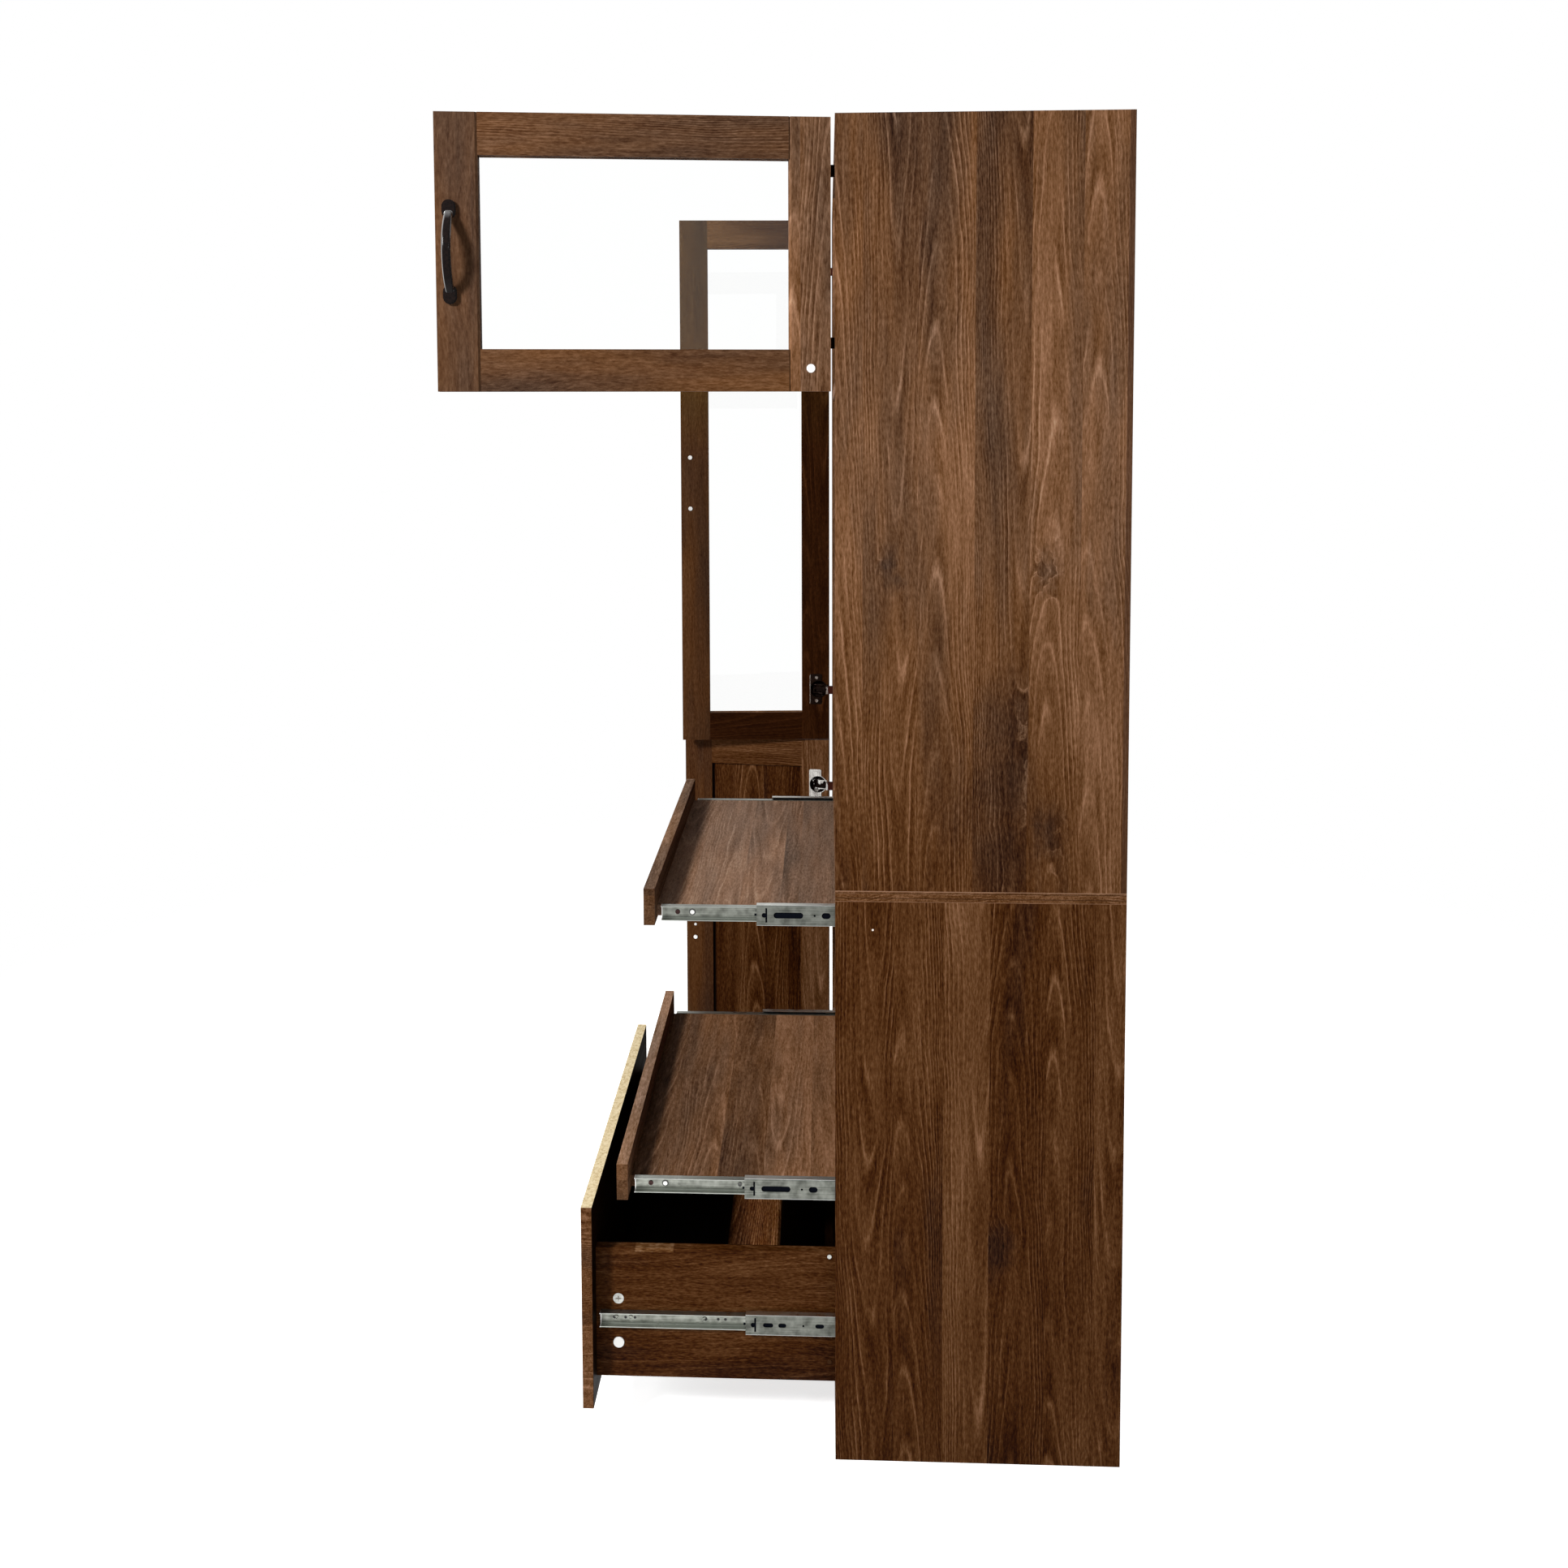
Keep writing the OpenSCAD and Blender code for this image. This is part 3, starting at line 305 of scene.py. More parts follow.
def walnut_group():
    """The grain itself: colour, roughness and height at a place on a board, in its own measure."""
    group = bpy.data.node_groups.new("walnut_grain", "ShaderNodeTree")
    names = ("Along", "Across", "Depth", "Local", "Phase", "Shade", "Contrast", "Grey", "Knot", "Figure")
    sockets = [(name, "INPUT", "Float") for name in names]
    sockets += [(name, "OUTPUT", "Float") for name in ("Roughness", "Height")]
    sockets.append(("Color", "OUTPUT", "Color"))
    for name, way, kind in sockets:
        group.interface.new_socket(name, in_out=way, socket_type="NodeSocket" + kind)
    tree = Tree(group)
    source = tree.add("NodeGroupInput").outputs
    phase = source["Phase"]
    knot = source["Knot"]
    along = tree.times_plus(phase, PHASE_ALONG, source["Along"])
    across = tree.times_plus(phase, PHASE_ACROSS, source["Across"])

    def layer(sideways, per_along, per_across, detail, roughness):
        """Noise that is stretched along the grain."""
        where = tree.combine(
            tree.product(along, per_along),
            tree.product(sideways, per_across),
            tree.product(source["Depth"], per_across),
        )
        return tree.noise(where, detail, roughness)

    def centred(value):
        return tree.minus(value, 0.5)

    # The grain wanders sideways
    shift = tree.product(centred(layer(across, *SLOW_WANDER)), SLOW_REACH)
    shift = tree.times_plus(centred(layer(across, *QUICK_WANDER)), QUICK_REACH, shift)
    bent = tree.math("ADD", across, shift)
    # Growth rings cut flat: nested arches along the plank, wrapped round any knot
    local = tree.math("ADD", source["Local"], shift)
    local = tree.times_plus(centred(phase), AXIS_REACH, local)
    arch = tree.product(local, local, ARCH_RINGS)
    sign = tree.math("SIGN", tree.minus(phase, TURN_PHASE))
    pace = tree.product(sign, tree.times_plus(phase, PACE_RINGS, PACE_RINGS))
    rings = tree.times_plus(source["Along"], pace, arch)
    rings = tree.times_plus(layer(across, *RING_DRIFT), DRIFT_RINGS, rings)
    rings = tree.times_plus(knot, KNOT_RINGS, rings)
    stops = [(place, (value,) * 3) for place, value in RING]
    line = centred(tree.ramp(tree.math("FRACT", rings), stops))
    seen = tree.rescale(layer(across, *FIGURE_PATCHES), 0.38, 0.62, 0.05, 1.15)
    line = tree.product(seen, source["Figure"], line)
    # Fibres, short pores and clouds
    streak = layer(bent, *STREAKS)
    fibre = layer(bent, *FIBRES)
    pore = tree.rescale(layer(bent, *PORES), 0.62, 0.78)
    cloud = layer(across, *CLOUDS)
    total = tree.product(line, RING_SHARE)
    for value, share in ((streak, STREAK_SHARE), (fibre, FIBRE_SHARE), (cloud, CLOUD_SHARE)):
        total = tree.times_plus(centred(value), share, total)
    total = tree.times_plus(pore, PORE_SHARE, total)
    total = tree.times_plus(knot, KNOT_SHARE, total)
    shade = tree.times_plus(total, source["Contrast"], source["Shade"], clamp=True)
    colour = tree.ramp(shade, WALNUT)
    # Greyed wood is as light as the colour that it replaces
    grey = tree.vector("SCALE", GREY_HUE)
    tree.feed(grey.node.inputs["Scale"], tree.add("ShaderNodeRGBToBW", {0: colour}).outputs[0])
    amount = tree.times_plus(tree.minus(0.5, cloud), CLOUD_GREY, source["Grey"], clamp=True)
    amount = tree.times_plus(knot, KNOT_GREY, amount, clamp=True)
    tree.add("NodeGroupOutput", {
        "Color": tree.mix(amount, colour, grey),
        "Roughness": tree.rescale(streak, 0.3, 0.7, 0.56, 0.44),
        "Height": tree.times_plus(pore, -0.5, fibre),
    })
    return group


WALNUT_GRAIN = walnut_group()


def board_coordinates(tree, board):
    """Along, across and depth of the surface point, in the board's own measure."""
    offset = tree.vector("SUBTRACT", tree.here(), board.origin)
    axes = (board.along, board.across, board.depth)
    return [tree.vector("DOT_PRODUCT", offset, axis) for axis in axes]


def edge_mask(tree, place, extent, width):
    """1 within a width of the board's edges, where two of its faces meet, and 0 elsewhere."""
    low, high = extent
    middle = (low + high) / 2
    inner = (high - low) / 2 - Vector((width,) * 3)
    offset = tree.vector("ABSOLUTE", tree.vector("SUBTRACT", tree.combine(*place), middle))
    past = tree.vector("SUBTRACT", offset, inner)
    near = [tree.rescale(value, 0.0, width) for value in tree.separate(past)]
    total = tree.math("ADD", tree.math("ADD", near[0], near[1]), near[2])
    return tree.math("SUBTRACT", total, 1.0, clamp=True)


def end_mask(tree, place, extent, index):
    """1 on the two faces that end a board in one direction of its measure, and 0 elsewhere."""
    low, high = extent[0][index], extent[1][index]
    return tree.on_end(tree.apart(place[index], (low + high) / 2), (high - low) / 2)


def banding_mask(tree, place, extent):
    """1 on the four narrow sides of a board, which end along it and across it, and 0 on its faces."""
    sides = [end_mask(tree, place, extent, index) for index in (0, 1)]
    return tree.math("MAXIMUM", *sides)


def listed_planks(tree, across, planks):
    """Tone, phase and distance from the middle of listed planks."""
    reach = planks[-1][0]
    stops = []
    edge = 0.0
    for far_edge, tone, phase in planks:
        stops.append((edge / reach, ((tone + 1) / 2, phase, (edge + far_edge) / 2 / reach)))
        edge = far_edge
    lookup = tree.ramp(tree.math("DIVIDE", across, reach), stops, "CONSTANT")
    tone, phase, centre = tree.separate(lookup)
    return tone, phase, tree.times_plus(centre, -reach, across)


SEED_STEP = 17


def random_planks(tree, across, width, seed):
    """Tone, phase and distance from the middle of planks of about one width."""
    count = tree.times_plus(across, 1 / width, seed * SEED_STEP)
    cells = tree.add("ShaderNodeTexVoronoi", {"W": count, "Scale": 1.0}, voronoi_dimensions="1D")
    tone, phase = tree.separate(cells.outputs["Color"])[:2]
    local = tree.minus(count, cells.outputs["W"])
    return tone, phase, tree.product(local, width)


# A knot's ragged outline: its noise, and how far that reaches along and across
KNOT_NOISE = {"Scale": 26.0, "Detail": 4.0, "Roughness": 0.62}
KNOT_RAGGED = (0.055, 0.060, 0.0)
# A knot's width as a share of its length, and at how many times its size it has faded out
KNOT_WIDTH = 0.6
KNOT_FADE = 1.6
PLANK_BORDER = 0.0006


def knot_mask(tree, place, knots, planks):
    """1 in the middle of a knot, falling to 0 on plain wood and at the borders of the knot's plank."""
    flat = tree.combine(*place)
    ragged = tree.add("ShaderNodeTexNoise", {"Vector": flat, **KNOT_NOISE}).outputs["Color"]
    ragged = tree.vector("SUBTRACT", ragged, (0.5, 0.5, 0.5))
    torn = tree.vector("ADD", flat, tree.vector("MULTIPLY", ragged, KNOT_RAGGED))
    mask = 0.0
    edges = [-1.0] + [plank[0] for plank in planks]
    for along, across, size in knots:
        offset = tree.vector("SUBTRACT", torn, (along, across, 0.0))
        offset = tree.vector("MULTIPLY", offset, (KNOT_WIDTH / size, 1.0 / size, 0.0))
        knot = tree.rescale(tree.length(offset), 0.0, KNOT_FADE, 1.0, 0.0, smooth=True)
        low_edge = max(edge for edge in edges if edge < across)
        high_edge = min(edge for edge in edges if edge >= across)
        knot = tree.product(knot, tree.between(place[1], low_edge, high_edge, PLANK_BORDER))
        mask = tree.math("MAXIMUM", mask, knot)
    return mask


def faded(tree, along, fade):
    """The shade and the grey of wood that changes along a board."""
    low, high = fade[0][0], fade[-1][0]
    stops = [((where - low) / (high - low), (shade, grey + 0.5, 0.0)) for where, shade, grey in fade]
    shade, grey = tree.separate(tree.ramp(tree.rescale(along, low, high), stops))[:2]
    return shade, tree.minus(grey, 0.5)


# What a plank's tone adds to its shade and its grey
TONE_SHADE = 0.14
TONE_GREY = -0.16
# A painted highlight along the board's edges, where two faces meet: its width and tint
HIGHLIGHT_EDGE_WIDTH = 0.0009
HIGHLIGHT_EDGE_TINT = (1.75, 1.7, 1.65)
# Strength and depth of the grain's relief, and the weak gloss
GRAIN_BUMP = (0.10, 0.0004)
GLOSS = 0.02


def walnut(
    name, board, seed=0.0, shade=0.5, grey=0.1, planks=None, plank_width=0.065, swing=1.0,
    contrast=1.0, figure=1.0, edges=0.35, knots=(), fade=None, banding=None, after=None,
):
    """Walnut laminate on a CAD node.

    planks lists (far edge across the board, tone from -1 to 1, phase of the figure), knots lists
    (along, across, size), and fade lists (along, shade, grey) in place of the even ones. banding is
    the measure of the strips glued round the board's sides. after changes the finished colour.
    """
    material, tree, shader = new_material("walnut_" + name)
    place = own_place = board_coordinates(tree, board)
    extent = board.extent(name)
    if banding:
        strip = banding_mask(tree, place, extent)
        pairs = zip(place, board_coordinates(tree, banding))
        place = [tree.times_plus(strip, tree.minus(b, a), a) for a, b in pairs]
    if planks:
        tone, phase, local = listed_planks(tree, place[1], planks)
    else:
        tone, phase, local = random_planks(tree, place[1], plank_width, seed)
    if fade:
        shade, grey = faded(tree, place[0], fade)
    offset = tree.product(tree.minus(tone, 0.5), swing)
    grain = tree.add("ShaderNodeGroup")
    grain.node_tree = WALNUT_GRAIN
    tree.fill(grain, {
        "Along": place[0],
        "Across": place[1],
        "Depth": place[2],
        "Local": local,
        "Phase": tree.math("FRACT", tree.math("ADD", phase, seed)),
        "Shade": tree.times_plus(offset, TONE_SHADE, shade),
        "Contrast": contrast,
        "Grey": tree.times_plus(offset, TONE_GREY, grey),
        "Knot": knot_mask(tree, place, knots, planks) if knots else 0.0,
        "Figure": figure,
    })
    colour = grain.outputs["Color"]
    # A painted highlight along the board's edges
    if edges:
        edge_highlight = tree.product(edge_mask(tree, own_place, extent, HIGHLIGHT_EDGE_WIDTH), edges)
        colour = tree.mix(edge_highlight, colour, tree.tint(colour, HIGHLIGHT_EDGE_TINT))
    if after:
        colour = after(tree, own_place, extent, colour)
    tree.fill(shader, {
        "Base Color": colour,
        "Roughness": grain.outputs["Roughness"],
        "Normal": tree.bump(grain.outputs["Height"], *GRAIN_BUMP),
        "Specular IOR Level": GLOSS,
    })
    give(name, material)


REAR_BAND = 0.0085


def darker_rear_edge(tree, place, extent, colour):
    """The dark band along a side panel's rear edge."""
    mask = tree.above(place[1], extent[1][1] - REAR_BAND, soft=0.0015, most=0.7)
    return tree.mix(mask, colour, (0.050, 0.022, 0.012))


# The pale plug's place, as (z, y), and its radius
PLUG_AT = (0.740, 0.050)
PLUG_RADIUS = 0.0016


def plug_spot(tree, place, extent, colour):
    """The small pale plug near the top of a lower side panel."""
    distance = tree.from_point(place[0], place[1], PLUG_AT)
    return tree.mix(tree.below(distance, PLUG_RADIUS, soft=0.0004), colour, (0.95, 0.84, 0.74))


LIGHT_LINE = (0.26, 0.15, 0.095)
DARK_LINE = (0.035, 0.014, 0.005)


def banded_edges(tree, place, extent, colour):
    """Thin lines along a banded edge.

    Light ones run along its borders, and dark ones below the top and above the bottom.
    """
    strip = banding_mask(tree, place, extent)
    height = tree.minus(place[2], extent[0][2])
    thickness = extent[1][2] - extent[0][2]
    # Each line: its height, how far it reaches to each side, its strength and its tone
    lines = (
        (thickness, 0.0014, 0.75, LIGHT_LINE),
        (thickness - 0.0030, 0.0010, 0.60, DARK_LINE),
        (0.0052, 0.0010, 0.60, DARK_LINE),
        (0.0, 0.0012, 0.35, LIGHT_LINE),
    )
    for level, reach, strength, tone in lines:
        line = tree.below(tree.apart(height, level), reach, soft=0.0005, most=strength)
        colour = tree.mix(tree.product(line, strip), colour, tone)
    return colour


# Bare board, from its darker to its lighter specks
RAW_BOARD = ((0.30, (0.48, 0.35, 0.17)), (0.50, (0.72, 0.60, 0.37)), (0.72, (0.84, 0.74, 0.52)))


def raw_top(tree, place, extent, colour):
    """The bare light edge on top of the drawer's front board."""
    speck = tree.noise(tree.combine(*place), 3.0, 0.7, 260.0)
    return tree.mix(tree.on_end(place[1], extent[1][1]), colour, tree.ramp(speck, RAW_BOARD))


LIP_TOP_TINT = (1.45, 1.65, 1.9)
LIP_END_TINT = (0.72, 0.68, 0.60)


def lip_faces(tree, place, extent, colour):
    """A tray lip's paler top edge and darker ends."""
    colour = tree.mix(tree.on_end(place[1], extent[1][1]), colour, tree.tint(colour, LIP_TOP_TINT))
    return tree.mix(end_mask(tree, place, extent, 0), colour, tree.tint(colour, LIP_END_TINT))


# What faces into the drawer and gets painted shade: where it starts from the bottom panel's box, and the
# shade's tint
INSIDE_SIDE = 0.0035
INSIDE_FRONT = 0.0040
INSIDE_BACK = 0.0010
INSIDE_SHADE_TINT = (0.04, 0.03, 0.02)

# The lit patch of the drawer's floor, where light comes in between the tray and the cabinet: its front
# and its back border, each from the dark side to the lit one
PATCH_FRONT = (-0.171, -0.162)
PATCH_BACK = (-0.086, -0.093)
PATCH_TOP = 0.001
PATCH_TINT = (4.0, 3.9, 3.6)

# The lit stretch on top of the drawer's right side, between the drawer's front and a tray's lip
RIM_FRONT = -0.278
RIM_BACK = -0.223
RIM_DEPTH = 0.0055
RIM_TINT = (2.4, 3.3, 5.4)


def dark_inside(tree, place, extent, colour):
    """Paints shade on what faces into the drawer, where little light comes, with a painted patch of
    light on its floor and a painted lit stretch on top of its right side.
    """
    x, y, z = tree.separate(tree.here())
    low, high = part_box("drawer_bottom")
    soft = 0.0005
    inside = tree.product(
        tree.between(x, low[0] + INSIDE_SIDE, high[0] - INSIDE_SIDE, soft),
        tree.between(y, low[1] + INSIDE_FRONT, high[1] + INSIDE_BACK, soft),
    )
    lit = tree.product(
        tree.rescale(y, *PATCH_FRONT),
        tree.rescale(y, *PATCH_BACK),
        tree.below(z, high[2] + PATCH_TOP, soft),
    )
    dark = tree.mix(lit, tree.tint(colour, INSIDE_SHADE_TINT), tree.tint(colour, PATCH_TINT))
    rim = tree.product(
        tree.above(z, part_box("drawer_sides")[1][2] - RIM_DEPTH, soft),
        tree.math("GREATER_THAN", x, 0.0),
        tree.between(y, RIM_FRONT, RIM_BACK, soft=0.002),
    )
    colour = tree.mix(rim, colour, tree.tint(colour, RIM_TINT))
    return tree.mix(inside, colour, dark)


def drawer_front_faces(tree, place, extent, colour):
    """The bare top edge, and painted shade on the inner face, of the drawer's front board."""
    y = tree.separate(tree.here())["Y"]
    reach = 0.0006
    inner_face = tree.above(y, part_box("drawer_front")[1][1] - reach, reach / 2)
    colour = tree.mix(inner_face, colour, tree.tint(colour, INSIDE_SHADE_TINT))
    return raw_top(tree, place, extent, colour)


def door_board(body, upright):
    """The measure of a door's stiles (upright) or rails, from its hinge edge and its inner face."""
    joint = joints[body]
    side = joint["axis"][2]
    turn = Matrix.Rotation(-side * math.radians(joint["range_deg"][0]), 3, "Z")
    to_free_edge = turn @ (-side * X)
    pivot = Vector((*joint["pos_m"][:2], 0.0))
    origin = pivot - PIVOT_EDGE * to_free_edge + PIVOT_FACE * (turn @ Y)
    axes = (Z, to_free_edge) if upright else (to_free_edge, Z)
    return Board(*axes, origin)


# The side panels' planks from front to back, their knots, and how they change with height: partly the
# wood's own tone, and partly painted shade that darkens them towards the bottom
UPPER_SIDE = {
    "planks": (
        (0.036, -0.15, 0.90), (0.107, -0.40, 0.20), (0.181, 0.15, 0.70),
        (0.253, -0.80, 0.05), (0.320, 0.45, 0.55), (0.385, 1.00, 0.80),
    ),
    "knots": (
        (0.873, 0.284, 0.022), (1.012, 0.217, 0.038), (0.935, 0.217, 0.050),
        (0.840, 0.217, 0.046), (1.225, 0.273, 0.016), (1.225, 0.073, 0.014),
    ),
    "fade": (
        (0.793, 0.355, -0.08), (0.95, 0.40, -0.02), (1.20, 0.49, 0.04),
        (1.40, 0.515, 0.06), (1.60, 0.44, 0.12), (1.813, 0.40, 0.18),
    ),
}
LOWER_SIDE = {
    "planks": (
        (0.078, -0.70, 0.30), (0.143, -0.15, 0.85), (0.205, 1.00, 0.10),
        (0.281, -0.90, 0.60), (0.345, -0.20, 0.95), (0.385, 0.35, 0.40),
    ),
    "knots": ((0.300, 0.215, 0.022),),
    "fade": ((0.0, 0.315, -0.15), (0.40, 0.325, -0.15), (0.778, 0.34, -0.12)),
    "contrast": 0.95,
}


def carcass_walnut():
    """Side panels, counter, shelves, dividers and the other fixed boards."""
    upright = Board(Z, Y)
    cross = Board(X, Y)
    for side in ("right", "left"):
        walnut(f"side_upper_{side}", upright, **UPPER_SIDE, edges=0.15, after=darker_rear_edge)
        walnut(f"side_lower_{side}", upright, **LOWER_SIDE, edges=0.15, after=plug_spot)
    walnut(
        "counter_board", cross, 0.4, 0.46, -0.20, swing=0.3, banding=Board(X + Y, Z),
        after=banded_edges,
    )
    walnut("divider_upper", upright, 0.5, 0.45)
    walnut("divider_lower", upright, 0.9, 0.42)
    for index, name in enumerate(("top_board", "bottom_board", "cupboard_floor", "adjustable_shelves")):
        walnut(name, cross, 0.17 * index + 0.05, 0.45)
    walnut("plinth", Board(X, Z), 0.62, 0.40)
    for name in ("back_upper", "back_lower"):
        walnut(name, Board(Z, X), 0.23, 0.40, plank_width=0.09, edges=0)


# A door's inner face: where it starts in the board's depth, and the tint of the shade painted on it
DOOR_INNER = -0.0012
DOOR_INNER_SHADE_TINT = (0.20, 0.13, 0.07)
# The painted shade changes between these distances from the hinge edge
NEAR_EDGE = 0.05
FAR_EDGE = 0.34
# A door this dark near its hinges turns pale and olive towards its top, between these heights, as a
# painted veil standing in for the tint and the reflection of the glass pane in front of it
OLIVE_FROM = 0.5
OLIVE_HEIGHTS = (1.36, 1.46)
OLIVE_RAIL = (1.36, 1.52, 1.25)
OLIVE_STILE = (1.02, 1.22, 1.06)
# Its lower rail, which lies below these heights, has painted shade over its whole length
LOWER_RAIL_HEIGHTS = (1.0, 0.9)


def shaded_inner_face(inward, near, far, rail):
    """Paints shade on a door's inner face, by an amount near the hinge edge and another at the free
    edge.

    inward is the sign of the board's depth towards the inside, and rail is false for a stile.
    """

    def shade_face(tree, place, extent, colour):
        from_edge, height = (place[0], place[1]) if rail else (place[1], place[0])
        inside = tree.above(tree.product(place[2], inward), DOOR_INNER, soft=0.0006)
        amount = tree.rescale(from_edge, NEAR_EDGE, FAR_EDGE, near, far)
        # A door this dark gets the painted pale olive veil towards its top, and painted shade on its
        # lower rail
        if near > OLIVE_FROM:
            top = tree.product(tree.rescale(height, *OLIVE_HEIGHTS), inside)
            colour = tree.mix(top, colour, tree.tint(colour, OLIVE_RAIL if rail else OLIVE_STILE))
            if rail:
                amount = tree.math("MAXIMUM", amount, tree.rescale(height, *LOWER_RAIL_HEIGHTS))
        amount = tree.product(amount, inside)
        return tree.mix(amount, colour, tree.tint(colour, DOOR_INNER_SHADE_TINT))

    return shade_face


# The shadow in a recessed panel: its width along the free edge and along the top
SHADOW_SIDE = 0.0060
SHADOW_TOP = 0.0030
SHADOW_TINT = (0.10, 0.06, 0.03)


def recess_shadow(tree, place, extent, colour):
    """Painted shadow in the corner along the free edge and the top of the lower left door's recessed
    panel.
    """
    frame_end = door_board("lower_left_door", True).extent("lower_left_door_handle_stile")[1]
    side = tree.above(place[1], frame_end[1] - FRAME_W - SHADOW_SIDE, soft=0.0015)
    top = tree.above(place[0], frame_end[0] - FRAME_W - SHADOW_TOP, soft=0.0015)
    return tree.mix(tree.math("MAXIMUM", side, top), colour, tree.tint(colour, SHADOW_TINT))


# Each door: seed, shade, grey, and how much painted shade darkens its inner face near the hinges and at
# the free edge
DOOR_LOOKS = {
    "right_door": (0.15, 0.437, 0.15, 0.0, 0.0),
    "upper_left_door": (0.55, 0.42, -0.10, 1.0, 0.10),
    "lower_left_door": (0.85, 0.40, -0.15, 0.15, 0.0),
}
# Planks of the right door's two rails, the lower left door's panel, the trays and the drawer's sides
RIGHT_RAILS = ((1.62, -0.9, 0.30), (1.82, -0.6, 0.70))
PANEL_PLANKS = (
    (0.057, 0.10, 0.30), (0.082, -1.00, 0.90), (0.131, -0.40, 0.20), (0.188, 0.50, 0.65),
    (0.400, -0.50, 0.80),
)
TRAY_PLANKS = {
    "upper_tray": (
        (0.040, 0.0, 0.20), (0.109, 0.7, 0.70), (0.166, 0.1, 0.10), (0.190, -0.7, 0.60),
        (0.450, -0.3, 0.85),
    ),
    "lower_tray": (
        (0.034, -0.2, 0.80), (0.118, 0.0, 0.30), (0.182, -0.7, 0.60), (0.247, 0.5, 0.05),
        (0.450, 0.0, 0.50),
    ),
}
DRAWER_SIDE_PLANKS = ((0.175, -0.9, 0.30), (0.400, -0.3, 0.75))


def door_walnut():
    """Stiles, rails and the recessed panel, with the grain along each."""
    for body, (seed, shade, grey, near, far) in DOOR_LOOKS.items():
        inward = -joints[body]["axis"][2]
        stiles = door_board(body, True)
        rails = door_board(body, False)
        stile_face = shaded_inner_face(inward, near, far, False)
        rail_face = shaded_inner_face(-inward, near, far, True)
        walnut(
            f"{body}_hinge_stile", stiles, seed, shade + 0.04, grey, plank_width=0.05, swing=0.5,
            after=stile_face,
        )
        walnut(
            f"{body}_handle_stile", stiles, seed + 0.2, shade - 0.09, grey + 0.24, plank_width=0.09,
            swing=0.4, figure=0.3, contrast=0.6, after=stile_face,
        )
        planks, swing = (RIGHT_RAILS, 1.2) if body == "right_door" else (None, 0.3)
        darker = 0.04 if body == "lower_left_door" else 0.0
        walnut(
            f"{body}_rails", rails, seed + 0.4, shade - darker, grey, planks, plank_width=0.10,
            swing=swing, contrast=0.8, after=rail_face,
        )
    walnut(
        "lower_left_door_panel", door_board("lower_left_door", True), 0.0, 0.27, -0.15, PANEL_PLANKS,
        swing=1.5, contrast=0.9, edges=0, after=recess_shadow,
    )


def tray_walnut():
    """Tray boards, lips and the drawer's boards."""
    for index, (tray, planks) in enumerate(TRAY_PLANKS.items()):
        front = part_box(f"{tray}_board")[0][1]
        walnut(
            f"{tray}_board", Board(X, Y, (0, front, 0)), 0.42 + 0.3 * index, 0.63 - 0.12 * index,
            0.34 - 0.24 * index, planks, figure=0.7, swing=2.0,
        )
        walnut(
            f"{tray}_lip", Board(X, Z), 0.66 + 0.2 * index, 0.45 + 0.06 * index, 0.2,
            plank_width=0.09, swing=0.4, figure=0.3, after=lip_faces,
        )
    walnut("drawer_front", Board(X, Z), 0.11, 0.40, 0.0, plank_width=0.09, after=drawer_front_faces)
    walnut(
        "drawer_sides", Board(Y, Z), 0.0, 0.31, -0.12, DRAWER_SIDE_PLANKS, figure=0.45,
        after=dark_inside,
    )
    walnut("drawer_back", Board(X, Z), 0.71, 0.38, 0.0, after=dark_inside)
    walnut("drawer_bottom", Board(X, Y), 0.21, 0.32, 0.0, after=dark_inside)


# Metal, glass and plastic

# Plated steels: the brighter and the darker tone of their cloudy patches, and the roughness
ZINC = ((0.50, 0.52, 0.50), (0.33, 0.35, 0.34), 0.34)
DRAWER_ZINC = ((0.46, 0.46, 0.43), (0.28, 0.28, 0.26), 0.34)
NICKEL = ((0.62, 0.60, 0.57), (0.36, 0.34, 0.32), 0.22)
SCREW_STEEL = ((0.85, 0.84, 0.82), (0.62, 0.61, 0.60), 0.28)
BRIGHT_CUP = ((0.70, 0.68, 0.64), (0.36, 0.34, 0.32), 0.22)
# The cups of the right and the upper left door: nearly black, as painted shade
SHADED_CUP = ((0.060, 0.040, 0.032), (0.022, 0.013, 0.010), 0.22)

# Cells per metre across the drawn lines of sheets, screws and hinges, and along all of them
SHEET_LINES = 900.0
SCREW_LINES = 500.0
HINGE_LINES = 400.0
ALONG_LINES = 12.0


def metal(name, colour, dark, roughness, along, grain=SHEET_LINES, after=None):
    """Plated steel with faint drawn lines along an axis and soft cloudy patches.

    after changes the colour and says where the surface is dull instead of metal, from 0 to 1.
    """
    material, tree, shader = new_material(name)
    place = tree.here()
    stretch = Vector((grain,) * 3) - (grain - ALONG_LINES) * Vector(map(abs, along))
    lines = tree.noise(tree.vector("MULTIPLY", place, stretch), 2.0)
    cloud = tree.noise(place, 2.0, 0.6, 70.0)
    mixed = tree.times_plus(cloud, 0.6, tree.product(lines, 0.4))
    base = tree.ramp(mixed, ((0.36, dark), (0.60, colour)))
    if after:
        base, dull = after(tree, place, base)
        matt = tree.add("ShaderNodeBsdfDiffuse", {"Color": base})
        surface(tree, tree.mix_shaders(dull, shader, matt))
    tree.fill(shader, {
        "Base Color": base,
        "Metallic": 1.0,
        "Roughness": tree.rescale(mixed, 0.35, 0.65, roughness + 0.10, roughness - 0.06),
        "Normal": tree.bump(lines, 0.08, 0.0002),
    })
    return material


# How far the painted highlight on a slide member's rolled edge, the painted shade in the groove beside
# it and the painted highlight on its white front end reach
ROLL_REACH = 0.0024
GROOVE_REACH = 0.0036
TIP_REACH = 0.0012
# The retainer inside a middle member: where it starts and ends behind the web, and half its height
RETAINER_FROM = 0.0013
RETAINER_TO = 0.0070
RETAINER_HALF = 0.0127

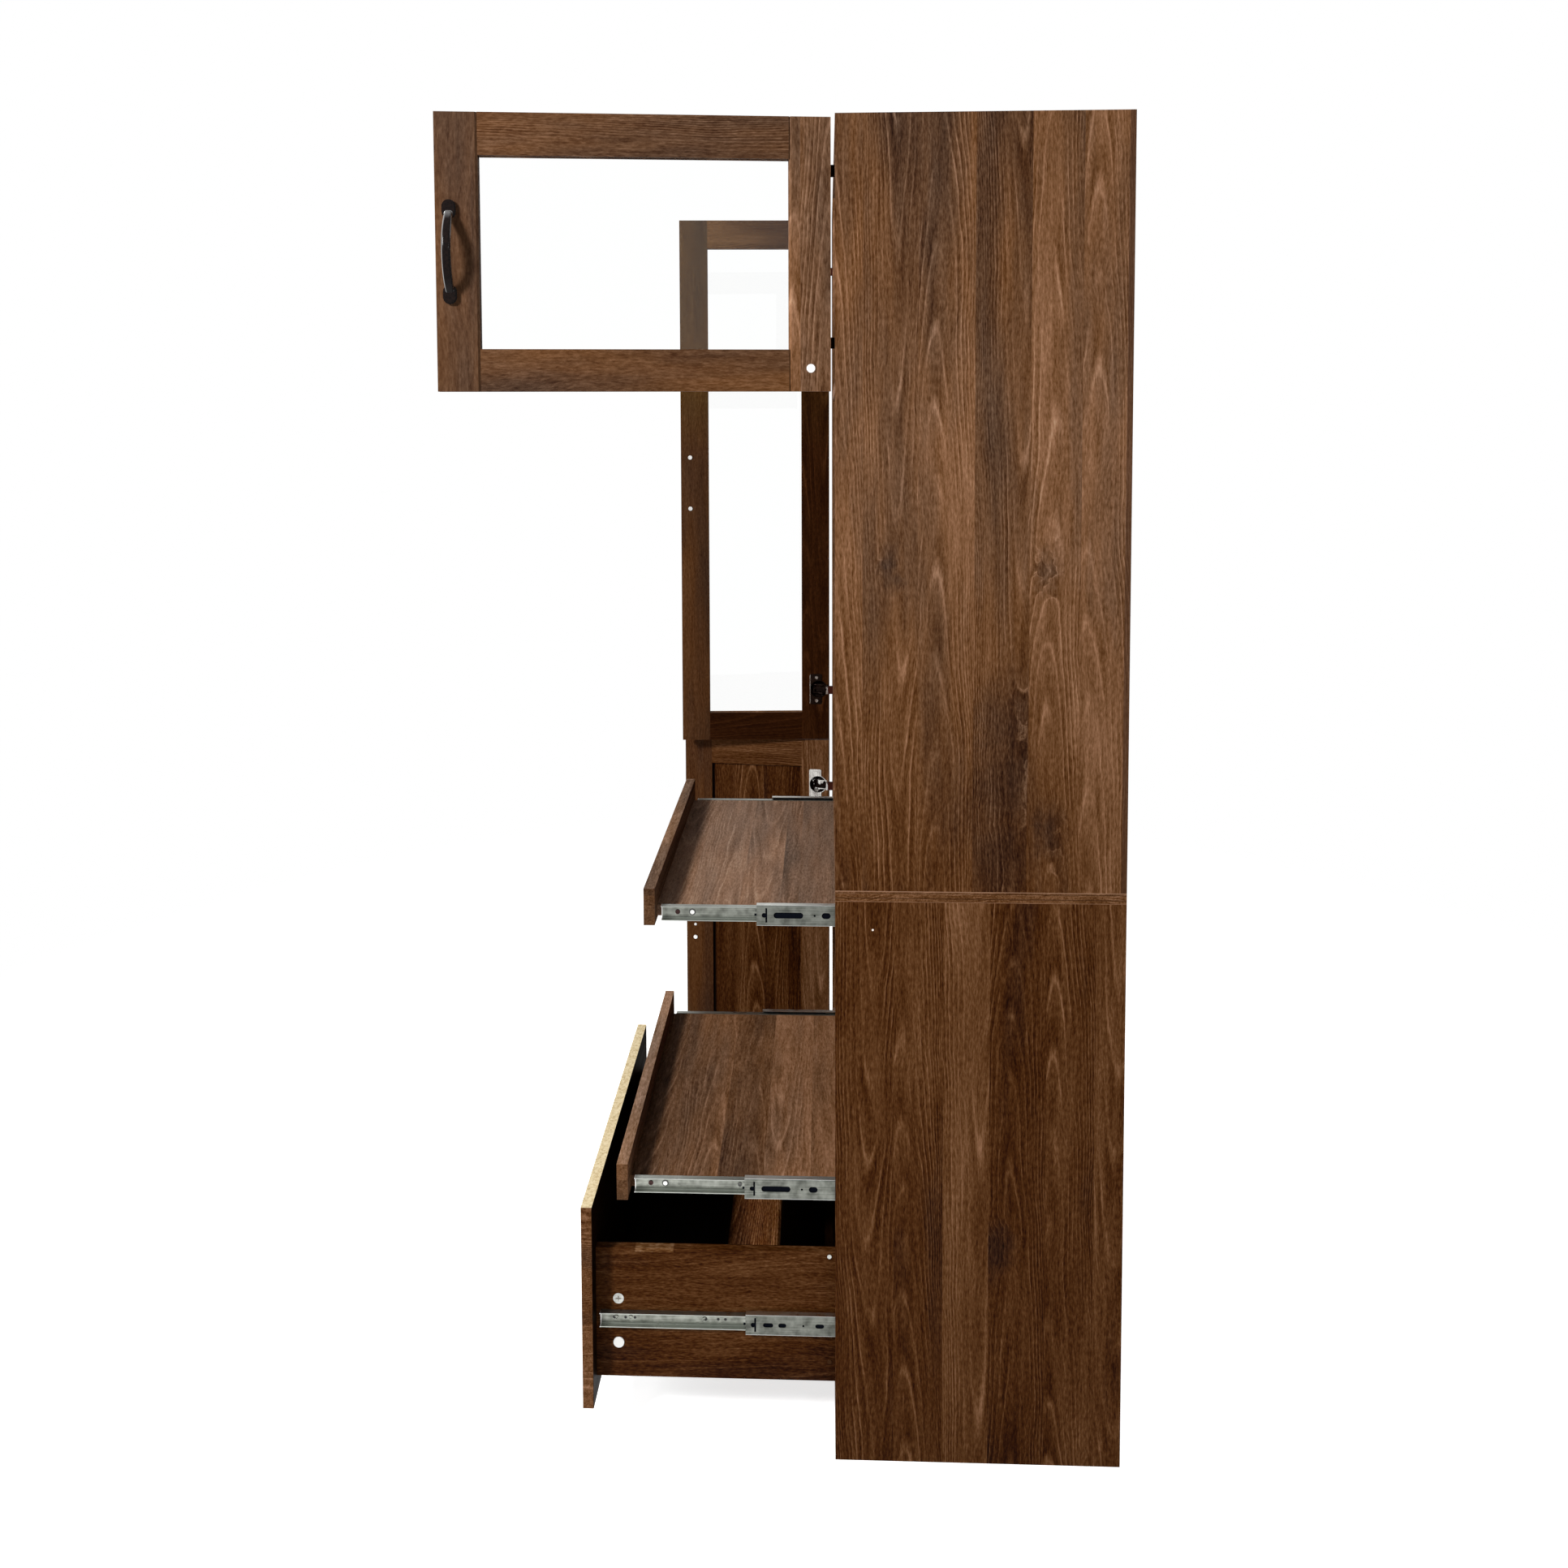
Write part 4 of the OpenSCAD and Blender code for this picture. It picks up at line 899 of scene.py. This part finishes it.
# Half the soft border of a round mark, and the inner radius of a mark without a hole
MARK_SOFT = 0.0003
FILLED = -1.0
# Marks on an inner member: place from its front end, inner and outer radius, tone
DRAWER_MARKS = [
    (at, FILLED, 0.0020, (0.03, 0.03, 0.03)) for at in (0.019, 0.035, 0.048, 0.147, 0.164, 0.174)
]
# A tray's has a dark screw, a bright one in a dark ring, and a dark hole
TRAY_MARKS = [
    (0.022, FILLED, 0.0034, (0.055, 0.030, 0.028)),
    (0.042, 0.0030, 0.0046, (0.07, 0.07, 0.065)),
    (0.042, FILLED, 0.0030, (0.85, 0.85, 0.83)),
    (0.145, FILLED, 0.0030, (0.09, 0.09, 0.085)),
]


def retainer_mask(tree, x, height, low, high):
    """1 on the retainer inside a middle slide member, on the right slide and on the left one."""
    # Distance behind the web's outer face
    behind = tree.math("MINIMUM", tree.minus(high[0], x), tree.minus(x, low[0]))
    return tree.product(
        tree.above(behind, RETAINER_FROM, soft=0.0001),
        tree.below(height, RETAINER_HALF, soft=0.0002),
        tree.below(behind, RETAINER_TO, soft=0.0002),
    )


def slide_steel(name):
    """Zinc-plated steel of a slide member.

    It has painted highlights on its rolled edges and its white front end, painted shade in the grooves
    beside the edges, and a dark retainer inside a middle member.
    """
    low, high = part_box(name)
    middle = (low[2] + high[2]) / 2
    half = (high[2] - low[2]) / 2
    front = low[1]
    drawer = name.startswith("drawer")
    inner = "_inner_" in name

    def finish(tree, place, base):
        x, y, z = tree.separate(place)
        height = tree.apart(z, middle)
        groove = tree.above(height, half - GROOVE_REACH, soft=0.0006, most=0.30 if inner else 0.45)
        base = tree.mix(groove, base, (0.10, 0.11, 0.11))
        roll = tree.above(height, half - ROLL_REACH, soft=0.0008, most=0.50 if inner else 0.85)
        base = tree.mix(roll, base, (0.50, 0.52, 0.48) if inner else (0.80, 0.80, 0.76))
        base = tree.mix(tree.below(y, front + TIP_REACH, soft=0.0006), base, (0.88, 0.88, 0.86))
        if inner:
            for at, hole, radius, tone in DRAWER_MARKS if drawer else TRAY_MARKS:
                distance = tree.from_point(y, z, (front + at, middle))
                mark = tree.between(distance, hole - MARK_SOFT, radius + MARK_SOFT, 2 * MARK_SOFT)
                base = tree.mix(mark, base, tone)
        if "_mid_" not in name:
            return base, 0.0
        inside = retainer_mask(tree, x, height, low, high)
        return tree.mix(inside, base, (0.004, 0.005, 0.008)), inside

    share = 1.15 if inner else 0.68 if drawer else 0.80
    bright = Vector((0.25, 0.26, 0.23)) * share
    dark = Vector((0.10, 0.105, 0.09)) * share
    return metal("steel_" + name, bright, dark, 0.32, Y, after=finish)


# Where a hinge arm's nose ends and where the painted shade of its dark root starts, next to the
# cabinet's front
NOSE_END = 0.003
ROOT_START = -0.0095
# Noise below the first level is a gap between the links, with painted shade, and above the second a
# link, with a painted highlight
GAP_LEVEL = 0.38
LINK_LEVEL = 0.44


def shaded_nose(tree, place, base):
    """Painted shade, black and matt, on a hinge arm's nose in front of the cabinet."""
    nose = tree.below(tree.separate(place)["Y"], NOSE_END, soft=0.002)
    return tree.mix(nose, base, (0.012, 0.004, 0.002)), nose


def bright_links(tree, place, base):
    """The links in a hinge arm's nose on the left doors: painted highlights on them, and painted shade
    in the gaps between them and on their root.
    """
    y = tree.separate(place)["Y"]
    nose = tree.below(y, NOSE_END, soft=0.002)
    pattern = tree.noise(place, 1.0, 0.5, 150.0)
    links = tree.ramp(pattern, ((GAP_LEVEL, (0.012, 0.006, 0.004)), (LINK_LEVEL, (0.88, 0.86, 0.82))))
    root = tree.above(y, ROOT_START, soft=0.001)
    links = tree.mix(root, links, (0.045, 0.012, 0.008))
    gaps = tree.rescale(pattern, LINK_LEVEL, GAP_LEVEL)
    return tree.mix(nose, base, links), tree.product(nose, tree.math("MAXIMUM", root, gaps))


# A screw's cross: how far its arms reach, and half their width
LOCK_CROSS = 0.0032
CAP_CROSS = 0.0030
CROSS_HALF = 0.0010


def cross_mask(tree, place, centre, reach):
    """1 on a small upright cross round a centre (y, z), seen from the side, and 0 elsewhere."""
    y, z = tree.separate(place)[1:]
    across = tree.apart(y, centre[0])
    up = tree.apart(z, centre[1])
    arms = tree.below(tree.math("MINIMUM", across, up), CROSS_HALF, soft=0.0004)
    ends = tree.below(tree.math("MAXIMUM", across, up), reach, soft=0.0004)
    return tree.product(arms, ends)


def capped_fittings(tree, place, base):
    """White caps over the drawer's lower cam locks, and brown ones over its lower rear screws."""
    soft = 0.001
    y, z = tree.separate(place)[1:]
    front = tree.below(y, FITTINGS_FRONT, soft)
    white = tree.product(tree.below(z, FRONT_CAP_TOP, soft), front)
    brown = tree.product(tree.below(z, REAR_CAP_TOP, soft), tree.minus(1.0, front))
    base = tree.mix(brown, tree.mix(white, base, (0.86, 0.86, 0.84)), (0.055, 0.024, 0.010))
    cross = tree.product(cross_mask(tree, place, LOCK_AT, LOCK_CROSS), 0.75)
    return tree.mix(cross, base, (0.10, 0.08, 0.06)), tree.math("MAXIMUM", white, brown)


# A hinge cup's hollow, where shade is painted, starts this deep below the door's inner face
HOLLOW_DEPTH = -0.0008
# The radius of the painted highlights on the flange's screws, and where the painted highlight on its far
# border starts from the door's edge
CUP_SCREW = 0.0034
CUP_BORDER = 0.0374


def cup_finish(body, shaded_plate):
    """A hinge cup's look: painted shade in its hollow, and on a shaded plate painted highlights on its
    screws and its far border.
    """
    board = door_board(body, True)
    inward = -joints[body]["axis"][2]
    low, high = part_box(body + "_hinge_cups")
    centres = (low[2] + FLANGE_H / 2, high[2] - FLANGE_H / 2)

    def finish(tree, place, base):
        along, across, depth = board_coordinates(tree, board)
        hollow = tree.below(tree.product(depth, inward), HOLLOW_DEPTH, soft=0.0008)
        # Painted highlights on bits of the links show in the painted shade
        hollow = tree.product(hollow, tree.rescale(tree.noise(place, 1.0, 0.5, 110.0), 0.60, 0.54))
        if shaded_plate:
            height = tree.math("MINIMUM", *[tree.apart(along, centre) for centre in centres])
            distance = tree.from_point(across, height, (FLANGE_SCREW_X, FLANGE_SCREW_Z))
            screw = tree.below(distance, CUP_SCREW, soft=0.0006)
            border = tree.above(across, CUP_BORDER, soft=0.0004)
            base = tree.mix(tree.math("MAXIMUM", screw, border), base, (0.80, 0.78, 0.74))
        return tree.mix(hollow, base, (0.010, 0.006, 0.005)), hollow

    return finish


def cup_steel(name):
    """Steel of two hinge cups: bright on the lower left door, and nearly black with painted shade on the
    others.
    """
    body = name.removesuffix("_hinge_cups")
    dark = body != "lower_left_door"
    tones = SHADED_CUP if dark else BRIGHT_CUP
    return metal("cup_" + body, *tones, Z, HINGE_LINES, after=cup_finish(body, dark))


def black_lacquer():
    """Black gloss lacquer on the handles, with a slight orange-peel surface."""
    material, tree, shader = new_material("black_lacquer")
    cloud = tree.noise(tree.here(), 2.0, 0.5, 300.0)
    tree.fill(shader, {
        "Base Color": tree.ramp(cloud, ((0.3, (0.002, 0.001, 0.001)), (0.7, (0.008, 0.004, 0.003)))),
        "Roughness": tree.rescale(cloud, 0.3, 0.7, 0.13, 0.19),
        "Normal": tree.bump(cloud, 0.05, 0.0003),
        "Specular IOR Level": 0.10,
    })
    mirror = tree.add("ShaderNodeBsdfGlossy", {"Color": WHITE, "Roughness": 0.10})
    facing = tree.add("ShaderNodeLayerWeight", {"Blend": 0.5}).outputs["Facing"]
    surface(tree, tree.mix_shaders(tree.rescale(facing, 0.28, 0.75, 0.0, 0.75), shader, mirror))
    return material


def white_plastic():
    """The white cap, which glows a little as painted light, with a dark rim and the cross of its screw
    showing faintly.
    """
    material, tree, shader = new_material("white_plastic")
    place = tree.here()
    cloud = tree.noise(place, 2.0, 0.5, 400.0)
    white = tree.ramp(cloud, ((0.3, (0.92, 0.91, 0.88)), (0.7, (0.97, 0.96, 0.94))))
    low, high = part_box("right_door_cap")
    centre = ((low[1] + high[1]) / 2, (low[2] + high[2]) / 2)
    radius = (high[2] - low[2]) / 2
    y, z = tree.separate(place)[1:]
    rim = tree.rescale(tree.from_point(y, z, centre), 0.82 * radius, 0.88 * radius)
    cross = cross_mask(tree, place, centre, CAP_CROSS)
    marks = tree.math("MAXIMUM", tree.product(rim, 0.85), tree.product(cross, 0.5))
    tree.fill(shader, {
        "Base Color": tree.mix(marks, white, (0.12, 0.07, 0.045)),
        # A painted glow that brightens the cap though it is no lamp, none on its marks
        "Emission Color": tree.mix(marks, (0.97, 0.88, 0.82), (0.0, 0.0, 0.0)),
        "Emission Strength": 0.65,
        "Roughness": tree.rescale(cloud, 0.3, 0.7, 0.30, 0.42),
    })
    return material


def beech():
    """Pale beech of the dowels, with its fibres along X."""
    material, tree, shader = new_material("beech_dowel")
    fibre = tree.noise(tree.vector("MULTIPLY", tree.here(), (60.0, 900.0, 900.0)), 2.0)
    colour = tree.ramp(fibre, ((0.3, (0.42, 0.28, 0.15)), (0.7, (0.66, 0.48, 0.28))))
    tree.fill(shader, {"Base Color": colour, "Roughness": 0.6})
    return material


def clear_glass():
    """A thin pane: mostly clear, with the surroundings mirrored on it more where it is seen aslant."""
    material, tree, shader = new_material("clear_glass")
    smear = tree.noise(tree.here(), 3.0, 0.6, 9.0)
    clear = tree.add("ShaderNodeBsdfTransparent", {"Color": (0.998, 1.0, 0.999, 1.0)})
    rough = tree.rescale(smear, 0.3, 0.7, 0.0, 0.008)
    mirror = tree.add("ShaderNodeBsdfGlossy", {"Color": WHITE, "Roughness": rough})
    facing = tree.add("ShaderNodeLayerWeight", {"Blend": 0.5}).outputs["Facing"]
    share = tree.times_plus(tree.math("POWER", facing, 5.0), 0.9, 0.017)
    surface(tree, tree.mix_shaders(share, clear, mirror))
    tree.tree.nodes.remove(shader)
    return material


def finish_hardware():
    """Metal, lacquer, glass and plastic on every node that isn't walnut, by the end of its name."""
    zinc = metal("zinc_steel", *ZINC, Y)
    finishes = {
        "shelf_pins": zinc,
        "cam_locks": zinc,
        "drawer_fittings": metal("drawer_zinc", *DRAWER_ZINC, Y, after=capped_fittings),
        "right_hinge_arms": metal("right_arm", *NICKEL, Z, HINGE_LINES, after=shaded_nose),
        "left_hinge_arms": metal("left_arm", *NICKEL, Z, HINGE_LINES, after=bright_links),
        "_screws": metal("bright_screw", *SCREW_STEEL, Z, SCREW_LINES),
        "_glass": clear_glass(),
        "_handle": black_lacquer(),
        "_cap": white_plastic(),
        "dowels": beech(),
    }
    for name in nodes:
        if name.endswith("_slides"):
            give(name, slide_steel(name))
        elif name.endswith("_cups"):
            give(name, cup_steel(name))
        for ending, material in finishes.items():
            if name.endswith(ending):
                give(name, material)


# Floor, lights and camera

FLOOR_HALF = 12.0
FLOOR_DROP = 0.0005
FLOOR_GLOW = 0.74
# Between these distances from the object the floor turns as white as the world behind it
FLOOR_FADE = (0.8, 2.4)
AMBIENT = 0.20
# Each lamp: power, size, place and the point that it looks at
KEY = (124.0, 0.5, Vector((2.3, -2.0, 2.6)), Vector((0.25, -0.05, 0.95)))
REAR = (75.0, 1.4, Vector((-2.2, 2.6, 2.3)), Vector((0.0, 0.2, 0.9)))
SPARK = (4.0, 0.11, Vector((2.35, 0.70, 2.15)), Vector((0.42, -0.3, 1.6)))
FRONT = (70.0, 1.4, Vector((-0.9, -3.4, 1.7)), Vector((0.0, 0.0, 0.9)))


def looked_at(tree):
    """1 where a surface is seen, mirrored or seen through glass, and 0 where it only lights."""
    ray = tree.add("ShaderNodeLightPath").outputs
    mirrored = tree.math("MAXIMUM", ray["Is Glossy Ray"], ray["Is Transmission Ray"])
    return tree.math("MAXIMUM", ray["Is Camera Ray"], mirrored)


def new_object(name, data):
    """An object in the scene."""
    item = bpy.data.objects.new(name, data)
    scene.collection.objects.link(item)
    return item


def make_floor():
    """A plain pale floor that keeps the object's shadow."""
    mesh = bpy.data.meshes.new("floor")
    corners = [(x * FLOOR_HALF, y * FLOOR_HALF, 0) for x, y in ((-1, -1), (1, -1), (1, 1), (-1, 1))]
    mesh.from_pydata(corners, [], [(0, 1, 2, 3)])
    floor = new_object("floor", mesh)
    floor.location = (0, 0, -FLOOR_DROP)
    material, tree, shader = new_material("pale_floor")
    pale = {"Base Color": (0.86, 0.86, 0.86, 1.0), "Roughness": 0.9, "Specular IOR Level": 0.0}
    tree.fill(shader, pale)
    seen = looked_at(tree)
    strength = tree.product(seen, FLOOR_GLOW)
    glow = tree.add("ShaderNodeEmission", {"Color": WHITE, "Strength": strength})
    near = tree.add("ShaderNodeAddShader", {0: shader.outputs[0], 1: glow.outputs[0]})
    white = tree.add("ShaderNodeEmission", {"Color": WHITE, "Strength": 1.0})
    far = tree.product(tree.rescale(tree.length(tree.here()), *FLOOR_FADE, smooth=True), seen)
    surface(tree, tree.mix_shaders(far, near, white))
    mesh.materials.append(material)


def make_world():
    """A white world: full white where it is seen or mirrored, softer where it lights."""
    world = bpy.data.worlds.new("studio")
    scene.world = world
    world.use_nodes = True
    world.node_tree.nodes.clear()
    tree = Tree(world.node_tree)
    strength = tree.rescale(looked_at(tree), 0.0, 1.0, AMBIENT, 1.0)
    back = tree.add("ShaderNodeBackground", {"Color": WHITE, "Strength": strength})
    output = tree.add("ShaderNodeOutputWorld")
    tree.feed(output.inputs["Surface"], back.outputs[0])


def make_lamp(name, power, size, at, aim, mirrored=True):
    """A square soft box, which gloss mirrors or not."""
    light = bpy.data.lights.new(name, "AREA")
    light.shape = "SQUARE"
    light.size = size
    light.energy = power
    lamp = new_object(name, light)
    lamp.location = at
    lamp.visible_glossy = mirrored
    lamp.rotation_euler = (at - aim).to_track_quat("Z", "Y").to_euler()


# The camera was fitted to the photograph's corners, in pixels of its 1932 square
PHOTO = 1932.0
FOCAL = 1484.6
CENTRE_Y = 604.0
CAMERA_AT = Vector((1.9749, -0.0114, 1.4118))
YAW = math.radians(2.01)
PITCH = math.radians(3.08)
ROLL = math.radians(-0.16)
# A full-frame sensor held upright
SENSOR_W = 24.0
SENSOR_H = 36.0
CLIP_START = 0.05
CLIP_END = 60.0


def make_camera():
    """The photograph's camera: it looks squarely at the right side, turned and tilted a little."""
    data = bpy.data.cameras.new("camera")
    data.sensor_fit = "VERTICAL"
    data.sensor_width = SENSOR_W
    data.sensor_height = SENSOR_H
    data.lens = SENSOR_H * FOCAL / PHOTO
    data.shift_y = -(PHOTO / 2 - CENTRE_Y) / PHOTO
    data.clip_start = CLIP_START
    data.clip_end = CLIP_END
    level = math.cos(PITCH)
    ahead = Vector((-math.cos(YAW) * level, -math.sin(YAW) * level, -math.sin(PITCH)))
    right = ahead.cross(Z).normalized()
    up = right.cross(ahead)
    right_rolled = math.cos(ROLL) * right + math.sin(ROLL) * up
    up_rolled = math.cos(ROLL) * up - math.sin(ROLL) * right
    matrix = Matrix((right_rolled, up_rolled, -ahead)).transposed().to_4x4()
    matrix.translation = CAMERA_AT
    camera = new_object("camera", data)
    camera.matrix_world = matrix
    scene.camera = camera


carcass_walnut()
door_walnut()
tray_walnut()
finish_hardware()
make_floor()
make_world()
make_lamp("key", *KEY)
make_lamp("rear", *REAR, mirrored=False)
make_lamp("spark", *SPARK)
make_lamp("front", *FRONT, mirrored=False)
make_camera()
scene.view_settings.view_transform = "Standard"
